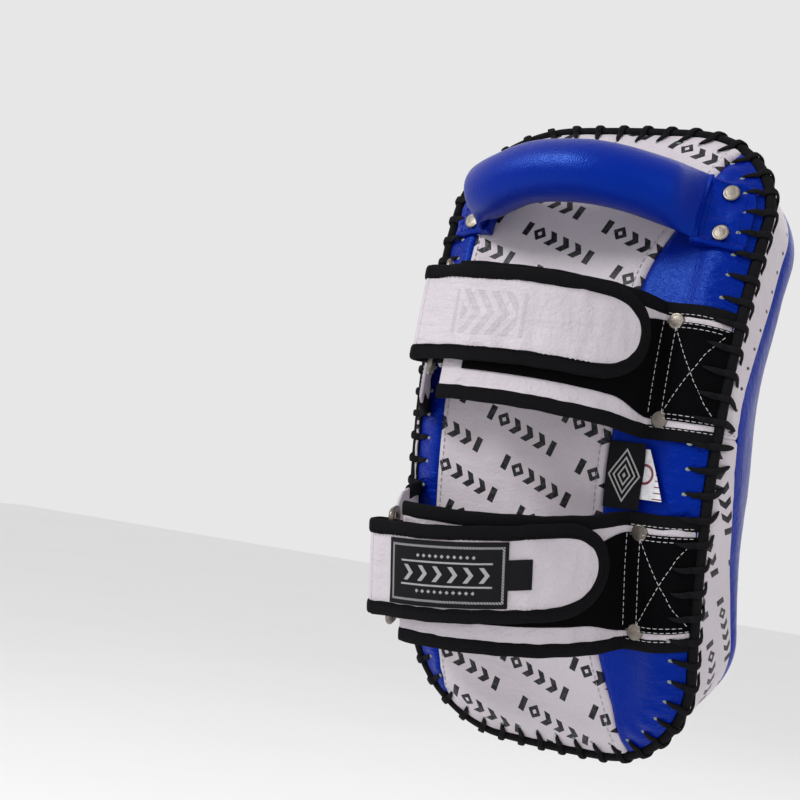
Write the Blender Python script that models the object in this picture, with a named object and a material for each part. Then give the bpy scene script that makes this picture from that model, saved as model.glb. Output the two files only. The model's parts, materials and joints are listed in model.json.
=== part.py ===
"""Curved thai pad (kick pad) with a padded handle and two forearm straps.

Frame: +Z runs along the pad towards the handle, -Y points out of the strap side, +Y out of the
striking face, and +X to the right as seen from the strap side. The origin is on the back panel,
where the middle of the forearm rests. The pad is drawn flat and then bent about an X axis in
front of it: s runs along the pad, n runs from the back panel (0) to the striking face.
"""
import math

import bmesh
import bpy
from mathutils import Vector

# ---- driving dimensions, metres ----
PAD_LENGTH = 0.395          # along the curved back
PAD_WIDTH = 0.195           # back outline, at the middle
PAD_THICKNESS = 0.092       # back panel to the top of the striking face
TAPER = 0.037               # half-width gained for each metre towards the handle
CORNER_RADIUS = 0.060
END_ARCH = 0.006            # how far the two ends bow out
BEND_RADIUS = 0.43          # of the back panel, lengthways
BACK_CROWN = 0.004          # the back's edges lie this far in front of its middle
SHOULDER_POWER = 3.0        # superellipse power of the striking face's shoulders

SEAM_MIDDLE = 0.0176        # side wall: height of the white gusset at its narrowest
SEAM_TOP = 0.041
SEAM_BOTTOM = 0.061
SEAM_S = 0.006              # where the gusset is narrowest, and its two halves join
SEAM_RUN_TOP = 0.097        # from there to its full height, towards each end
SEAM_RUN_BOTTOM = 0.150
SIDE_FLARE = 0.009          # the middle of the striking face is wider than the back
FLARE_S = -0.015
FLARE_REACH = 0.065

SEAM_LEFT = -0.0755         # x of the seams between the back's three panels
SEAM_RIGHT = 0.037
SEAM_RIGHT_TOP = 0.034      # how far the right one swings out at each end
SEAM_RIGHT_BOTTOM = 0.018

LEATHER = 0.0018
GAP = 0.0003
EDGE_CORD = 0.0038          # half-size of the black cord along the back's edge
EDGE = EDGE_CORD + GAP
FOAM_CLEAR = 0.0034         # foam to the leather's outer side
FOAM_JOINS = (0.034, 0.062) # depths where the three foam slabs meet

STRAP_WIDTH = 0.080         # forearm band, bindings included
TONGUE_WIDTH = 0.055        # narrower closing strap, bindings included
BINDING = 0.0085
BAND_THICKNESS = 0.0030
TONGUE_THICKNESS = 0.0026
PATCH_THICKNESS = 0.0022    # of the laced-in patches on the back
TAPE_PROUD = 0.0005         # bindings stand this much above the leather they cover
LOOP_FABRIC = 0.0012
HOOK_FABRIC = 0.0010
LOOP_HALF_WIDTH = 0.0225
TONGUE_OFFSET = 0.0058      # tongue's mid-plane above the band's
TAIL_OFFSET = -0.0038       # strap's inner arm below the band's mid-plane
TAIL_LENGTH = 0.024
TONGUE_END = 0.034          # length of the tongue's rounded end
HOOK_START = 0.050          # hook fabric, along the tongue from its fold
HOOK_STOP = 0.018           # and short of the tongue's leather end
HOOK_HALF_WIDTH = 0.0165
FOLD_REACH = 0.0070         # fold's centre beyond the ring's bar
RING_WIRE = 0.0018          # radius of the ring's wire
RING_SPAN = 0.0640          # between the centres of the ring's short sides
RING_PITCH = 0.0150         # between the ring's long bars
RING_CORNER = 0.0040
ROOT_STRAP_END = 0.0260     # half-width of the root strap where it holds the ring
HINGE_HEIGHT = 0.0045       # strap hinges above the back panel

RIVET_RADIUS = 0.0050
RIVET_HEIGHT = 0.0015
ANCHOR_RIVET = (0.0082, 0.0285)     # from the fold, and from the patch's middle line
HANDLE_RIVET = (0.0156, 0.0130)     # from the grip's end, and from the tab's middle line

HANDLE_S = 0.137
HANDLE_HALF_SPAN = 0.066    # the padded grip ends here and its flat tabs begin
HANDLE_RISE = 0.034         # grip's middle stands off by this much more than its ends
HANDLE_LEAN = 0.004         # and leans towards the pad's end
HANDLE_BASE = 0.0070
GRIP_THICKNESS = 0.033
GRIP_WIDTH = 0.037
GRIP_END = 0.0080           # grip's thickness where it meets its tabs
TAB_WIDTH = 0.042
TAB_THICKNESS = 0.0030
TAB_SETTLE = 0.012          # the tab comes down onto the back in this length

LABEL = (0.0235, -0.0410, -0.0030)   # width, and the stretch of seam that holds it
CARE_TAG = (0.038, -0.0345, -0.0060)
LABEL_SLANT = 0.08          # both stand off towards their free edge
WOVEN_LABEL = (0.022, 0.092)        # along the lower tongue from its fold
SIZE_TAB = (0.0926, 0.105)
SIZE_TAB_HALF = 0.0085
WOVEN_THICKNESS = 0.0007

HALF = 40                   # outline points on each side of the pad

# ---- each strap: place along the pad, forearm arch, and where its ends are fixed ----
STRAPS = {
    "upper": {
        "s": 0.044, "fold_x": 0.058, "root_x": -0.084, "bar": (-0.051, 0.063),
        "rise": (0.052, 0.050), "crest": (-0.002, 0.072), "tip": 0.012,
        "z_anchor": -0.004, "z_band": -0.004, "z_ring": 0.004, "z_tip": 0.008},
    "lower": {
        "s": -0.084, "fold_x": 0.0535, "root_x": -0.084, "bar": (-0.058, 0.073),
        "rise": (0.046, 0.056), "crest": (-0.009, 0.083), "tip": 0.017,
        "z_anchor": 0.002, "z_band": 0.006, "z_ring": 0.006, "z_tip": 0.015},
}


# ---- materials ----
def material(name, colour, roughness, metallic=0.0):
    found = bpy.data.materials.get(name)
    if found:
        return found
    made = bpy.data.materials.new(name)
    made.use_nodes = True
    shader = made.node_tree.nodes["Principled BSDF"]
    shader.inputs["Base Color"].default_value = (*colour, 1.0)
    shader.inputs["Roughness"].default_value = roughness
    shader.inputs["Metallic"].default_value = metallic
    return made


def blue_leather():
    return material("blue_leather", (0.004, 0.022, 0.32), 0.42)


def white_leather():
    return material("white_leather", (0.66, 0.62, 0.66), 0.45)


def black_tape():
    return material("black_tape", (0.008, 0.008, 0.010), 0.80)


def black_fabric():
    return material("black_fabric", (0.004, 0.004, 0.005), 0.95)


def foam():
    return material("foam", (0.10, 0.10, 0.11), 0.90)


def steel():
    return material("nickel", (0.62, 0.60, 0.57), 0.28, 1.0)


# ---- building closed solids ----
def finish_object(name, bm, finish):
    bmesh.ops.recalc_face_normals(bm, faces=bm.faces)
    mesh = bpy.data.meshes.new(name)
    bm.to_mesh(mesh)
    bm.free()
    mesh.materials.append(finish)
    made = bpy.data.objects.new(name, mesh)
    bpy.context.scene.collection.objects.link(made)
    mesh.shade_smooth()
    mesh.set_sharp_from_angle(angle=math.radians(40))
    return made


def slab(name, grid, lower, upper, finish):
    """Closed sheet: grid is rows of (a, b), which lower and upper turn into points."""
    bm = bmesh.new()
    low = [[bm.verts.new(lower(a, b)) for a, b in row] for row in grid]
    high = [[bm.verts.new(upper(a, b)) for a, b in row] for row in grid]
    rows = len(grid)
    columns = len(grid[0])
    for i in range(rows - 1):
        j = i + 1
        for k in range(columns - 1):
            bm.faces.new((high[i][k], high[i][k + 1], high[j][k + 1], high[j][k]))
            bm.faces.new((low[i][k], low[j][k], low[j][k + 1], low[i][k + 1]))
        for k in (0, columns - 1):
            bm.faces.new((high[i][k], high[j][k], low[j][k], low[i][k]))
    for i in (0, rows - 1):
        for k in range(columns - 1):
            bm.faces.new((high[i][k], low[i][k], low[i][k + 1], high[i][k + 1]))
    return finish_object(name, bm, finish)


def tube(name, loops, finish, closed=False):
    """Skin over loops of points: capped at both ends, or joined end to start."""
    bm = bmesh.new()
    rings = [[bm.verts.new(p) for p in loop] for loop in loops]
    count = len(rings[0])
    pairs = list(zip(rings, rings[1:] + rings[:1])) if closed else list(zip(rings, rings[1:]))
    for first, second in pairs:
        for k in range(count):
            m = (k + 1) % count
            bm.faces.new((first[k], first[m], second[m], second[k]))
    if not closed:
        bm.faces.new(rings[0])
        bm.faces.new(rings[-1])
    return finish_object(name, bm, finish)


def spread(start, end, count):
    return [start + (end - start) * i / (count - 1) for i in range(count)]


def ease(value):
    value = min(1.0, max(0.0, value))
    return value * value * (3.0 - 2.0 * value)


# ---- the bent pad ----
def bend(x, s, n):
    angle = s / BEND_RADIUS
    reach = BEND_RADIUS - n
    return Vector((x, BEND_RADIUS - reach * math.cos(angle), reach * math.sin(angle)))


def place(x, s, n):
    """A point of the plain rectangular pad, with the taper and the bowed ends put in."""
    half_width = PAD_WIDTH / 2
    across = x / half_width
    along = s * (1.0 - END_ARCH / (PAD_LENGTH / 2) * across * across)
    return bend(x * (1.0 + TAPER * along / half_width), along, n)


def outline(u):
    """Rounded rectangle; u is 0 at the top's middle and +1 or -1 at the bottom's middle."""
    half_width = PAD_WIDTH / 2
    half_length = PAD_LENGTH / 2
    flat_end = half_width - CORNER_RADIUS
    flat_side = 2 * (half_length - CORNER_RADIUS)
    quarter = math.pi / 2 * CORNER_RADIUS
    walk = abs(u) * (2 * flat_end + 2 * quarter + flat_side)
    side = math.copysign(1.0, u)
    if walk < flat_end:
        return side * walk, half_length
    walk -= flat_end
    if walk < quarter:
        angle = walk / CORNER_RADIUS
        x = flat_end + CORNER_RADIUS * math.sin(angle)
        return side * x, half_length - CORNER_RADIUS * (1 - math.cos(angle))
    walk -= quarter
    if walk < flat_side:
        return side * half_width, half_length - CORNER_RADIUS - walk
    walk -= flat_side
    if walk < quarter:
        angle = walk / CORNER_RADIUS
        x = flat_end + CORNER_RADIUS * math.cos(angle)
        return side * x, CORNER_RADIUS - half_length - CORNER_RADIUS * math.sin(angle)
    walk -= quarter
    return side * (flat_end - walk), -half_length


def outline_at_side(s):
    """The u of the point at s on the outline's straight side."""
    half_width = PAD_WIDTH / 2
    half_length = PAD_LENGTH / 2
    flat_end = half_width - CORNER_RADIUS
    flat_side = 2 * (half_length - CORNER_RADIUS)
    quarter = math.pi / 2 * CORNER_RADIUS
    walk = flat_end + quarter + half_length - CORNER_RADIUS - s
    return walk / (2 * flat_end + 2 * quarter + flat_side)


def spine(s):
    reach = PAD_LENGTH / 2 - PAD_WIDTH / 2
    return min(reach, max(-reach, s))


def ray_length(u):
    x, s = outline(u)
    return math.hypot(x, s - spine(s))


def pad_point(u, inset, n):
    """Point at a distance inside the outline, on the ray towards the pad's middle line."""
    x, s = outline(u)
    middle = spine(s)
    scale = 1.0 - inset / ray_length(u)
    return place(x * scale, middle + (s - middle) * scale, n)


def seam_height(s):
    """Height of the white gusset above the back's edge."""
    up = (SEAM_TOP - SEAM_MIDDLE) * ease((s - SEAM_S) / SEAM_RUN_TOP)
    down = (SEAM_BOTTOM - SEAM_MIDDLE) * ease((SEAM_S - s) / SEAM_RUN_BOTTOM)
    return SEAM_MIDDLE + up + down


def flare(s):
    return SIDE_FLARE * math.exp(-((s - FLARE_S) / FLARE_REACH) ** 2)


def shoulder(u, angle, shrink):
    """Inset and depth on the striking face's dome, from the seam (0) to its middle (90 deg)."""
    _, s = outline(u)
    seam = BACK_CROWN + seam_height(s)
    reach = ray_length(u) + flare(s) - shrink
    rise = PAD_THICKNESS - shrink - seam
    power = 2.0 / SHOULDER_POWER
    inset = ray_length(u) - reach * math.cos(angle) ** power
    return inset, seam + rise * math.sin(angle) ** power


def side_inset(u, n, shrink):
    """Inset of the pad's side at depth n: the gusset below the seam, the dome above it."""
    _, s = outline(u)
    seam = BACK_CROWN + seam_height(s)
    if n <= seam:
        return shrink - flare(s) * max(0.0, n - BACK_CROWN) / (seam - BACK_CROWN)
    reach = ray_length(u) + flare(s) - shrink
    part = (n - seam) / (PAD_THICKNESS - shrink - seam)
    return ray_length(u) - reach * (1.0 - part ** SHOULDER_POWER) ** (1.0 / SHOULDER_POWER)


def back_depth(x, s):
    across = min(1.0, abs(x) / (PAD_WIDTH / 2))
    along = min(1.0, abs(s) / (PAD_LENGTH / 2))
    return BACK_CROWN * (1.0 - (1.0 - across ** 4) * (1.0 - along ** 4))


def back_point(x, s, lift):
    """Point above the back panel: lift is positive towards the forearm."""
    return place(x, s, back_depth(x, s) - lift)


def plain_x(x, s):
    """The plain rectangle's x that the taper moves to x."""
    return x / (1.0 + TAPER * s / (PAD_WIDTH / 2))


OUTLINE_US = ([-(i + 0.5) / HALF for i in reversed(range(HALF))]
              + [(i + 0.5) / HALF for i in range(HALF)])


# ---- the pad's pieces ----
def close_with_rows(bm, loop, depth, columns):
    """Cap a loop of outline points with rows that run straight across the pad."""
    count = len(loop)
    previous = None
    for i in range(HALF):
        left = loop[HALF - 1 - i]
        right = loop[count - HALF + i]
        if i in (0, HALF - 1):
            row = [left, right]
        else:
            row = [left]
            for k in range(1, columns):
                row.append(bm.verts.new(depth(left.co.lerp(right.co, k / columns))))
            row.append(right)
        if previous:
            if len(row) == len(previous):
                for k in range(len(row) - 1):
                    bm.faces.new((previous[k], previous[k + 1], row[k + 1], row[k]))
            else:
                bm.faces.new(previous + row[::-1])
        previous = row


def flat_cap(point):
    return point


def loft_pad(name, profile, finish, columns=2, first_cap=flat_cap, last_cap=flat_cap):
    """Solid through rings of pad points: profile gives (inset, n) for each ring and u."""
    bm = bmesh.new()
    rings = []
    for ring in profile:
        rings.append([bm.verts.new(pad_point(u, *ring(u))) for u in OUTLINE_US])
    count = len(OUTLINE_US)
    for first, second in zip(rings, rings[1:]):
        for k in range(count):
            m = (k + 1) % count
            bm.faces.new((first[k], first[m], second[m], second[k]))
    close_with_rows(bm, rings[0], first_cap, columns)
    close_with_rows(bm, rings[-1], last_cap, columns)
    return finish_object(name, bm, finish)


def striking_panel():
    """Blue leather dome of the striking face, open towards the foam."""
    bm = bmesh.new()
    angles = [math.radians(a) for a in (0, 14, 27, 39, 50, 60, 70, 79, 85.5)]
    count = len(OUTLINE_US)
    layers = []
    for shrink in (0.0, LEATHER):
        rings = []
        for angle in angles:
            ring = []
            for u in OUTLINE_US:
                inset, n = shoulder(u, angle, shrink)
                ring.append(bm.verts.new(pad_point(u, inset, n + GAP / 2)))
            rings.append(ring)
        for first, second in zip(rings, rings[1:]):
            for k in range(count):
                m = (k + 1) % count
                bm.faces.new((first[k], first[m], second[m], second[k]))
        close_with_rows(bm, rings[-1], flat_cap, 1)
        layers.append(rings[0])
    for k in range(count):
        m = (k + 1) % count
        bm.faces.new((layers[0][k], layers[0][m], layers[1][m], layers[1][k]))
    finish_object("striking_panel", bm, blue_leather())


def gusset(name, us):
    """White leather side wall between the edge cord and the striking panel."""
    def wall(shrink):
        def point(u, part):
            _, s = outline(u)
            low = BACK_CROWN + EDGE
            high = BACK_CROWN + seam_height(s) - GAP / 2
            n = low + (high - low) * part
            return pad_point(u, side_inset(u, n, shrink), n)
        return point
    grid = [[(u, part) for part in (0.0, 0.5, 1.0)] for u in us]
    slab(name, grid, wall(LEATHER), wall(0.0), white_leather())


def gussets():
    split_top = outline_at_side(SEAM_S + GAP / 2)
    split_bottom = outline_at_side(SEAM_S - GAP / 2)
    above = [u for u in OUTLINE_US if abs(u) < split_top - 0.004]
    gusset("gusset_upper", [-split_top] + above + [split_top])
    right = [u for u in OUTLINE_US if u > split_bottom + 0.004]
    left = [-u for u in reversed(right)]
    gusset("gusset_lower", [split_bottom] + right + left + [-split_bottom])


def seam_right(s):
    top = SEAM_RIGHT_TOP * ease((s - 0.085) / 0.115)
    bottom = SEAM_RIGHT_BOTTOM * ease((-s - 0.110) / 0.090)
    return SEAM_RIGHT + top + bottom


def edge_half_width(s, inset):
    """Half-width of the plain outline at s, drawn in by inset."""
    radius = CORNER_RADIUS - inset
    half_width = PAD_WIDTH / 2 - inset
    past = abs(s) - (PAD_LENGTH / 2 - CORNER_RADIUS)
    if past <= 0:
        return half_width
    return half_width - radius + math.sqrt(max(0.0, radius * radius - past * past))


def back_panel(name, left, right, columns, finish):
    """Leather panel of the back between two seams, as rows across it."""
    half = PAD_LENGTH / 2 - EDGE
    grid = []
    for i in range(33):
        s = -half * math.cos(math.pi * i / 32)
        limit = edge_half_width(s, EDGE)
        start = max(-limit, left(s))
        end = min(limit, right(s))
        if end - start < 0.002:
            continue
        grid.append([(x, s) for x in spread(start, end, columns + 1)])
    slab(name, grid, lambda x, s: back_point(x, s, -LEATHER),
         lambda x, s: back_point(x, s, 0.0), finish)


def back_panels():
    back_panel("back_panel_left", lambda s: -1.0, lambda s: SEAM_LEFT - GAP / 2, 2,
               blue_leather())
    back_panel("back_panel_centre", lambda s: SEAM_LEFT + GAP / 2,
               lambda s: seam_right(s) - GAP / 2, 6, white_leather())
    back_panel("back_panel_right", lambda s: seam_right(s) + GAP / 2, lambda s: 1.0, 4,
               blue_leather())


def foam_layers():
    """Three bonded slabs: firm foam under the forearm, soft foam under the striking face."""
    clear = FOAM_CLEAR
    lower, upper = FOAM_JOINS
    rows = 6

    def crowned(point):
        s = BEND_RADIUS * math.atan2(point.z, BEND_RADIUS - point.y)
        depth = back_depth(plain_x(point.x, s), s)
        return bend(point.x, s, depth + LEATHER + 3 * GAP)

    loft_pad("foam_back", [
        lambda u: (0.0078, BACK_CROWN + clear),
        lambda u: (side_inset(u, BACK_CROWN + 0.0085, clear), BACK_CROWN + 0.0085),
        lambda u: (side_inset(u, lower / 2, clear), lower / 2),
        lambda u: (side_inset(u, lower - GAP / 2, clear), lower - GAP / 2)],
        foam(), rows, first_cap=crowned)
    loft_pad("foam_middle", [
        lambda u: (side_inset(u, lower + GAP / 2, clear), lower + GAP / 2),
        lambda u: (side_inset(u, (lower + upper) / 2, clear), (lower + upper) / 2),
        lambda u: (side_inset(u, upper - GAP / 2, clear), upper - GAP / 2)],
        foam(), 1)
    top = PAD_THICKNESS - clear
    depths = [upper + GAP / 2] + [upper + (top - upper) * p for p in (0.35, 0.65, 0.85, 0.96)]
    loft_pad("foam_front",
             [lambda u, n=n: (side_inset(u, n, clear), n) for n in depths], foam(), 1)


def edge_cord():
    """Black cord laced over the raw edge, all the way round the back."""
    loops = []
    for u in OUTLINE_US:
        loop = []
        for k in range(8):
            turn = 2 * math.pi * k / 8
            loop.append(pad_point(u, EDGE_CORD * 0.9 * math.cos(turn),
                                  BACK_CROWN + EDGE_CORD * 0.9 * math.sin(turn)))
        loops.append(loop)
    tube("edge_cord", loops, black_tape(), closed=True)


# ---- straps ----
class Strap:
    """Where a strap's pieces lie: x across the pad, z along it and h off the back panel."""

    def __init__(self, key):
        self.spec = STRAPS[key]
        angle = self.spec["s"] / BEND_RADIUS
        self.base = bend(0.0, self.spec["s"], 0.0)
        self.along = Vector((0.0, math.sin(angle), math.cos(angle)))
        self.out = Vector((0.0, -math.cos(angle), math.sin(angle)))

    def world(self, x, z, h):
        return self.base + Vector((x, 0, 0)) + self.along * z + self.out * h


def bezier(points, count):
    p0, p1, p2, p3 = (Vector(p) for p in points)
    path = []
    for t in spread(0.0, 1.0, count):
        r = 1.0 - t
        path.append(p0 * r ** 3 + p1 * 3 * r * r * t + p2 * 3 * r * t * t + p3 * t ** 3)
    return path


def normals(path):
    """Unit normals of an open path, on the side that faces away from the forearm."""
    found = []
    for i in range(len(path)):
        step = path[min(i + 1, len(path) - 1)] - path[max(i - 1, 0)]
        step.normalize()
        found.append(Vector((step.y, -step.x)))
    return found


def lengths(path):
    total = [0.0]
    for first, second in zip(path, path[1:]):
        total.append(total[-1] + (second - first).length)
    return total


def strip(name, strap, path, centre, edges, low, high, finish, edge_columns=1):
    """Leather or tape that follows a path; centre(d) and edges(d) give z along its length."""
    sides = normals(path)
    walked = lengths(path)
    grid = []
    for i, d in enumerate(walked):
        near, far = edges(d, walked[-1])
        grid.append([(i, centre(d, walked[-1]) + z) for z in spread(near, far, edge_columns + 1)])

    def at(offset):
        def point(i, z):
            spot = path[i] + sides[i] * offset
            return strap.world(spot.x, z, spot.y)
        return point

    slab(name, grid, at(low), at(high), finish)


def band_path(spec):
    """Mid-plane of the forearm band, from its hinge line to its free end by the ring."""
    bar = Vector(spec["bar"])
    start = Vector((spec["fold_x"] - 0.0020, 0.0010))
    arrive = (Vector(spec["crest"]) - bar).normalized()
    return bezier((start, spec["rise"], spec["crest"], bar + arrive * 0.010), 19)


def ring_way(spec):
    """Unit vector from the band's free end to the ring's bar."""
    return (Vector(spec["bar"]) - Vector(spec["crest"])).normalized()


def fold_path(spec, first, last, count):
    """Part of the half circle that the closing strap makes around the ring's bar."""
    way = ring_way(spec)
    side = Vector((-way.y, way.x)) * -1.0
    centre = (Vector(spec["bar"]) + way * FOLD_REACH + side * (TONGUE_OFFSET + TAIL_OFFSET) / 2)
    radius = (TONGUE_OFFSET - TAIL_OFFSET) / 2
    return [centre + (side * math.cos(a) + way * math.sin(a)) * radius
            for a in (math.radians(d) for d in spread(first, last, count))]


def fold_hinge(spec):
    """Axis of the tongue: the outer surface of the strap where it folds."""
    way = ring_way(spec)
    radius = (TONGUE_OFFSET - TAIL_OFFSET) / 2 + TONGUE_THICKNESS / 2
    side = Vector((-way.y, way.x)) * -1.0
    centre = (Vector(spec["bar"]) + way * FOLD_REACH + side * (TONGUE_OFFSET + TAIL_OFFSET) / 2)
    return centre + way * radius


def straight(width):
    return lambda d, total: (-width / 2, width / 2)


def band_centre(spec):
    return lambda d, total: spec["z_anchor"] + (spec["z_band"] - spec["z_anchor"]) * d / total


def forearm_band(key, strap):
    spec = strap.spec
    path = band_path(spec)
    centre = band_centre(spec)
    half = STRAP_WIDTH / 2
    low, high = -BAND_THICKNESS / 2, BAND_THICKNESS / 2
    strip(f"{key}_band", strap, path, centre, straight(STRAP_WIDTH - 2 * BINDING - 2 * GAP),
          low, high, white_leather())
    strip(f"{key}_band_binding_top", strap, path, centre,
          lambda d, total: (half - BINDING, half), low - TAPE_PROUD, high + TAPE_PROUD,
          black_tape())
    strip(f"{key}_band_binding_bottom", strap, path, centre,
          lambda d, total: (-half, BINDING - half), low - TAPE_PROUD, high + TAPE_PROUD,
          black_tape())
    strip(f"{key}_loop_fabric", strap, path[2:16], centre,
          lambda d, total: (-LOOP_HALF_WIDTH, LOOP_HALF_WIDTH), high + GAP,
          high + GAP + LOOP_FABRIC, black_fabric())


def tongue_path(spec):
    """From the middle of the fold over the band to the strap's round end."""
    band = band_path(spec)
    sides = normals(band)
    over = [p + n * TONGUE_OFFSET for p, n in zip(band, sides)]
    total = lengths(band)[-1]
    walked = lengths(band)
    over = [p for p, d in zip(over, walked) if d > spec["tip"] and d < total - 0.002]
    fold = fold_path(spec, 84.0, 0.0, 5)
    return fold + over[::-1]


def rounded_end(half_width, reach):
    """Edges of a strip whose last stretch closes in a half ellipse."""
    def edges(d, total):
        past = max(0.0, d - (total - reach)) / reach
        half = half_width * math.sqrt(max(0.015, 1.0 - past * past))
        return -half, half
    return edges


def dense_end(path, reach, count):
    """Add points along the last stretch, where the strip narrows quickly."""
    walked = lengths(path)
    total = walked[-1]
    kept = [p for p, d in zip(path, walked) if d < total - reach]
    extra = []
    for part in spread(0.0, 1.0, count):
        d = total - reach + reach * math.sin(part * math.pi / 2)
        for i in range(len(path) - 1):
            if walked[i] <= d <= walked[i + 1] + 1e-9:
                share = (d - walked[i]) / (walked[i + 1] - walked[i])
                extra.append(path[i].lerp(path[i + 1], share))
                break
    return kept + extra


def closing_strap(key, strap):
    """Narrow strap: an inner arm sewn under the band, and the tongue folded back over it."""
    spec = strap.spec
    half = TONGUE_WIDTH / 2
    path = dense_end(tongue_path(spec), TONGUE_END, 8)
    thick = TONGUE_THICKNESS / 2

    def centre(d, total):
        return spec["z_ring"] + (spec["z_tip"] - spec["z_ring"]) * d / total

    def inner(d, total):
        near, far = rounded_end(half, TONGUE_END)(d, total)
        pull = min(BINDING + 0.0012, (far - near) / 2 - 0.0004)
        return near + pull, far - pull

    body_total = lengths(path)[-1]
    stop = body_total - BINDING
    body = [p for p, d in zip(path, lengths(path)) if d < stop][:-1]
    strip(f"{key}_tongue", strap, body, lambda d, total: centre(d, body_total),
          lambda d, total: inner(d, body_total), -thick, thick, white_leather())
    tongue_binding(f"{key}_tongue_binding", strap, path, centre, half)
    hook = [p for p, d in zip(path, lengths(path)) if HOOK_START < d < stop - HOOK_STOP]
    strip(f"{key}_hook_fabric", strap, hook,
          lambda d, total: centre(d + HOOK_START, body_total),
          lambda d, total: (-HOOK_HALF_WIDTH, HOOK_HALF_WIDTH),
          thick + GAP, thick + GAP + HOOK_FABRIC, black_fabric())
    tail(key, strap)


def tongue_binding(name, strap, path, centre, half):
    """One black tape along the tongue's two edges and round its end."""
    sides = normals(path)
    walked = lengths(path)
    total = walked[-1]
    edges = rounded_end(half, TONGUE_END)
    thick = TONGUE_THICKNESS / 2 + TAPE_PROUD
    outer, inner = [], []
    for i, d in enumerate(walked):
        outer.append((i, centre(d, total) + edges(d, total)[1]))
        inner_half = max(0.0, edges(d, total)[1] - BINDING)
        inner.append((i, centre(d, total) + inner_half))
    last = max(i for i, d in enumerate(walked) if d < total - BINDING)
    inner = [(min(i, last), z) if i <= last else (last, centre(walked[last], total))
             for i, z in inner]

    def at(offset):
        def point(i, z):
            spot = path[i] + sides[i] * offset
            return strap.world(spot.x, z, spot.y)
        return point

    def other(pair):
        i, z = pair
        return i, 2 * centre(walked[i], total) - z

    top = [[b, a] for a, b in zip(outer, inner) if b[0] < last or a[0] == last]
    tip = [[inner[last], outer[i]] for i in range(last + 1, len(outer))]
    grid = top + tip + [[other(b), other(a)] for b, a in reversed(top + tip)]
    build_band(name, grid, at(-thick), at(thick))


def build_band(name, grid, lower, upper):
    """Slab whose rows may share their inner point: doubles are merged afterwards."""
    made = slab(name, grid, lower, upper, black_tape())
    bm = bmesh.new()
    bm.from_mesh(made.data)
    bmesh.ops.remove_doubles(bm, verts=bm.verts, dist=1e-6)
    bmesh.ops.dissolve_degenerate(bm, edges=bm.edges, dist=1e-6)
    bmesh.ops.recalc_face_normals(bm, faces=bm.faces)
    bm.to_mesh(made.data)
    bm.free()


def tail(key, strap):
    """Inner arm of the closing strap, from under the band to the middle of its fold."""
    spec = strap.spec
    way = ring_way(spec)
    fold = fold_path(spec, 96.0, 180.0, 5)
    path = fold + [fold[-1] - way * (TAIL_LENGTH * part) for part in (0.33, 0.67, 1.0)]
    strip(f"{key}_strap_tail", strap, path, lambda d, total: spec["z_ring"],
          straight(TONGUE_WIDTH), -TONGUE_THICKNESS / 2, TONGUE_THICKNESS / 2, white_leather())


def ring_bar(spec):
    """Second bar of the ring, which the root strap holds."""
    bar = Vector(spec["bar"])
    root = Vector((spec["root_x"], 0.0))
    return bar + (root - bar).normalized() * RING_PITCH


def steel_ring(key, strap):
    """Rectangular ring bent from wire."""
    spec = strap.spec
    first = Vector(spec["bar"])
    second = ring_bar(spec)
    way = (second - first).normalized()
    half_z = RING_SPAN / 2 - RING_CORNER
    half_w = RING_PITCH / 2 - RING_CORNER
    middle = (first + second) / 2
    centres = []
    for sign_w, sign_z, start in ((1, 1, 0), (-1, 1, 90), (-1, -1, 180), (1, -1, 270)):
        for k in range(4):
            a = math.radians(start + 30 * k)
            centres.append((sign_w * half_w + RING_CORNER * math.cos(a),
                            sign_z * half_z + RING_CORNER * math.sin(a), a))
    across = Vector((-way.y, way.x))
    loops = []
    for w, z, a in centres:
        loop = []
        for k in range(8):
            turn = 2 * math.pi * k / 8
            out = RING_WIRE * math.cos(turn)
            off = RING_WIRE * math.sin(turn)
            spot = middle + way * (w + out * math.cos(a)) + across * off
            loop.append(strap.world(spot.x, spec["z_ring"] + z + out * math.sin(a), spot.y))
        loops.append(loop)
    tube(f"{key}_ring", loops, steel(), closed=True)


def root_strap(key, strap):
    """Short strap from the pad's other edge that holds the ring."""
    spec = strap.spec
    held = ring_bar(spec)
    radius = RING_WIRE + TONGUE_THICKNESS / 2 + 0.0006
    start = Vector((spec["root_x"] + 0.0018, 0.0010))
    top = held + Vector((-radius, 0.0))
    path = [start.lerp(top, p) for p in spread(0.0, 1.0, 6)]
    path += [held + Vector((math.cos(a), math.sin(a))) * radius
             for a in (math.radians(d) for d in (165, 150, 140))]

    def edges(d, total):
        full = STRAP_WIDTH / 2
        past = d / (total - 0.010)
        half = full + (ROOT_STRAP_END - full) * ease((past - 0.40) / 0.60)
        return -half, half

    strip(f"{key}_root_strap", strap, path,
          lambda d, total: spec["z_anchor"] + (spec["z_ring"] - spec["z_anchor"]) * d / total,
          edges, -TONGUE_THICKNESS / 2, TONGUE_THICKNESS / 2, white_leather())


def patch(name, strap, x_range, z_range, low, high, finish, columns=2, rows=6):
    """Sheet that lies on the back panel, next to a strap's hinge line."""
    grid = []
    for z in spread(*z_range, rows + 1):
        s = strap.spec["s"] + z
        hinge_side, laced_side = x_range
        grid.append([(x, s) for x in spread(plain_x(hinge_side, s), laced_side, columns + 1)])
    slab(name, grid, lambda x, s: back_point(x, s, low), lambda x, s: back_point(x, s, high),
         finish)


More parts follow.
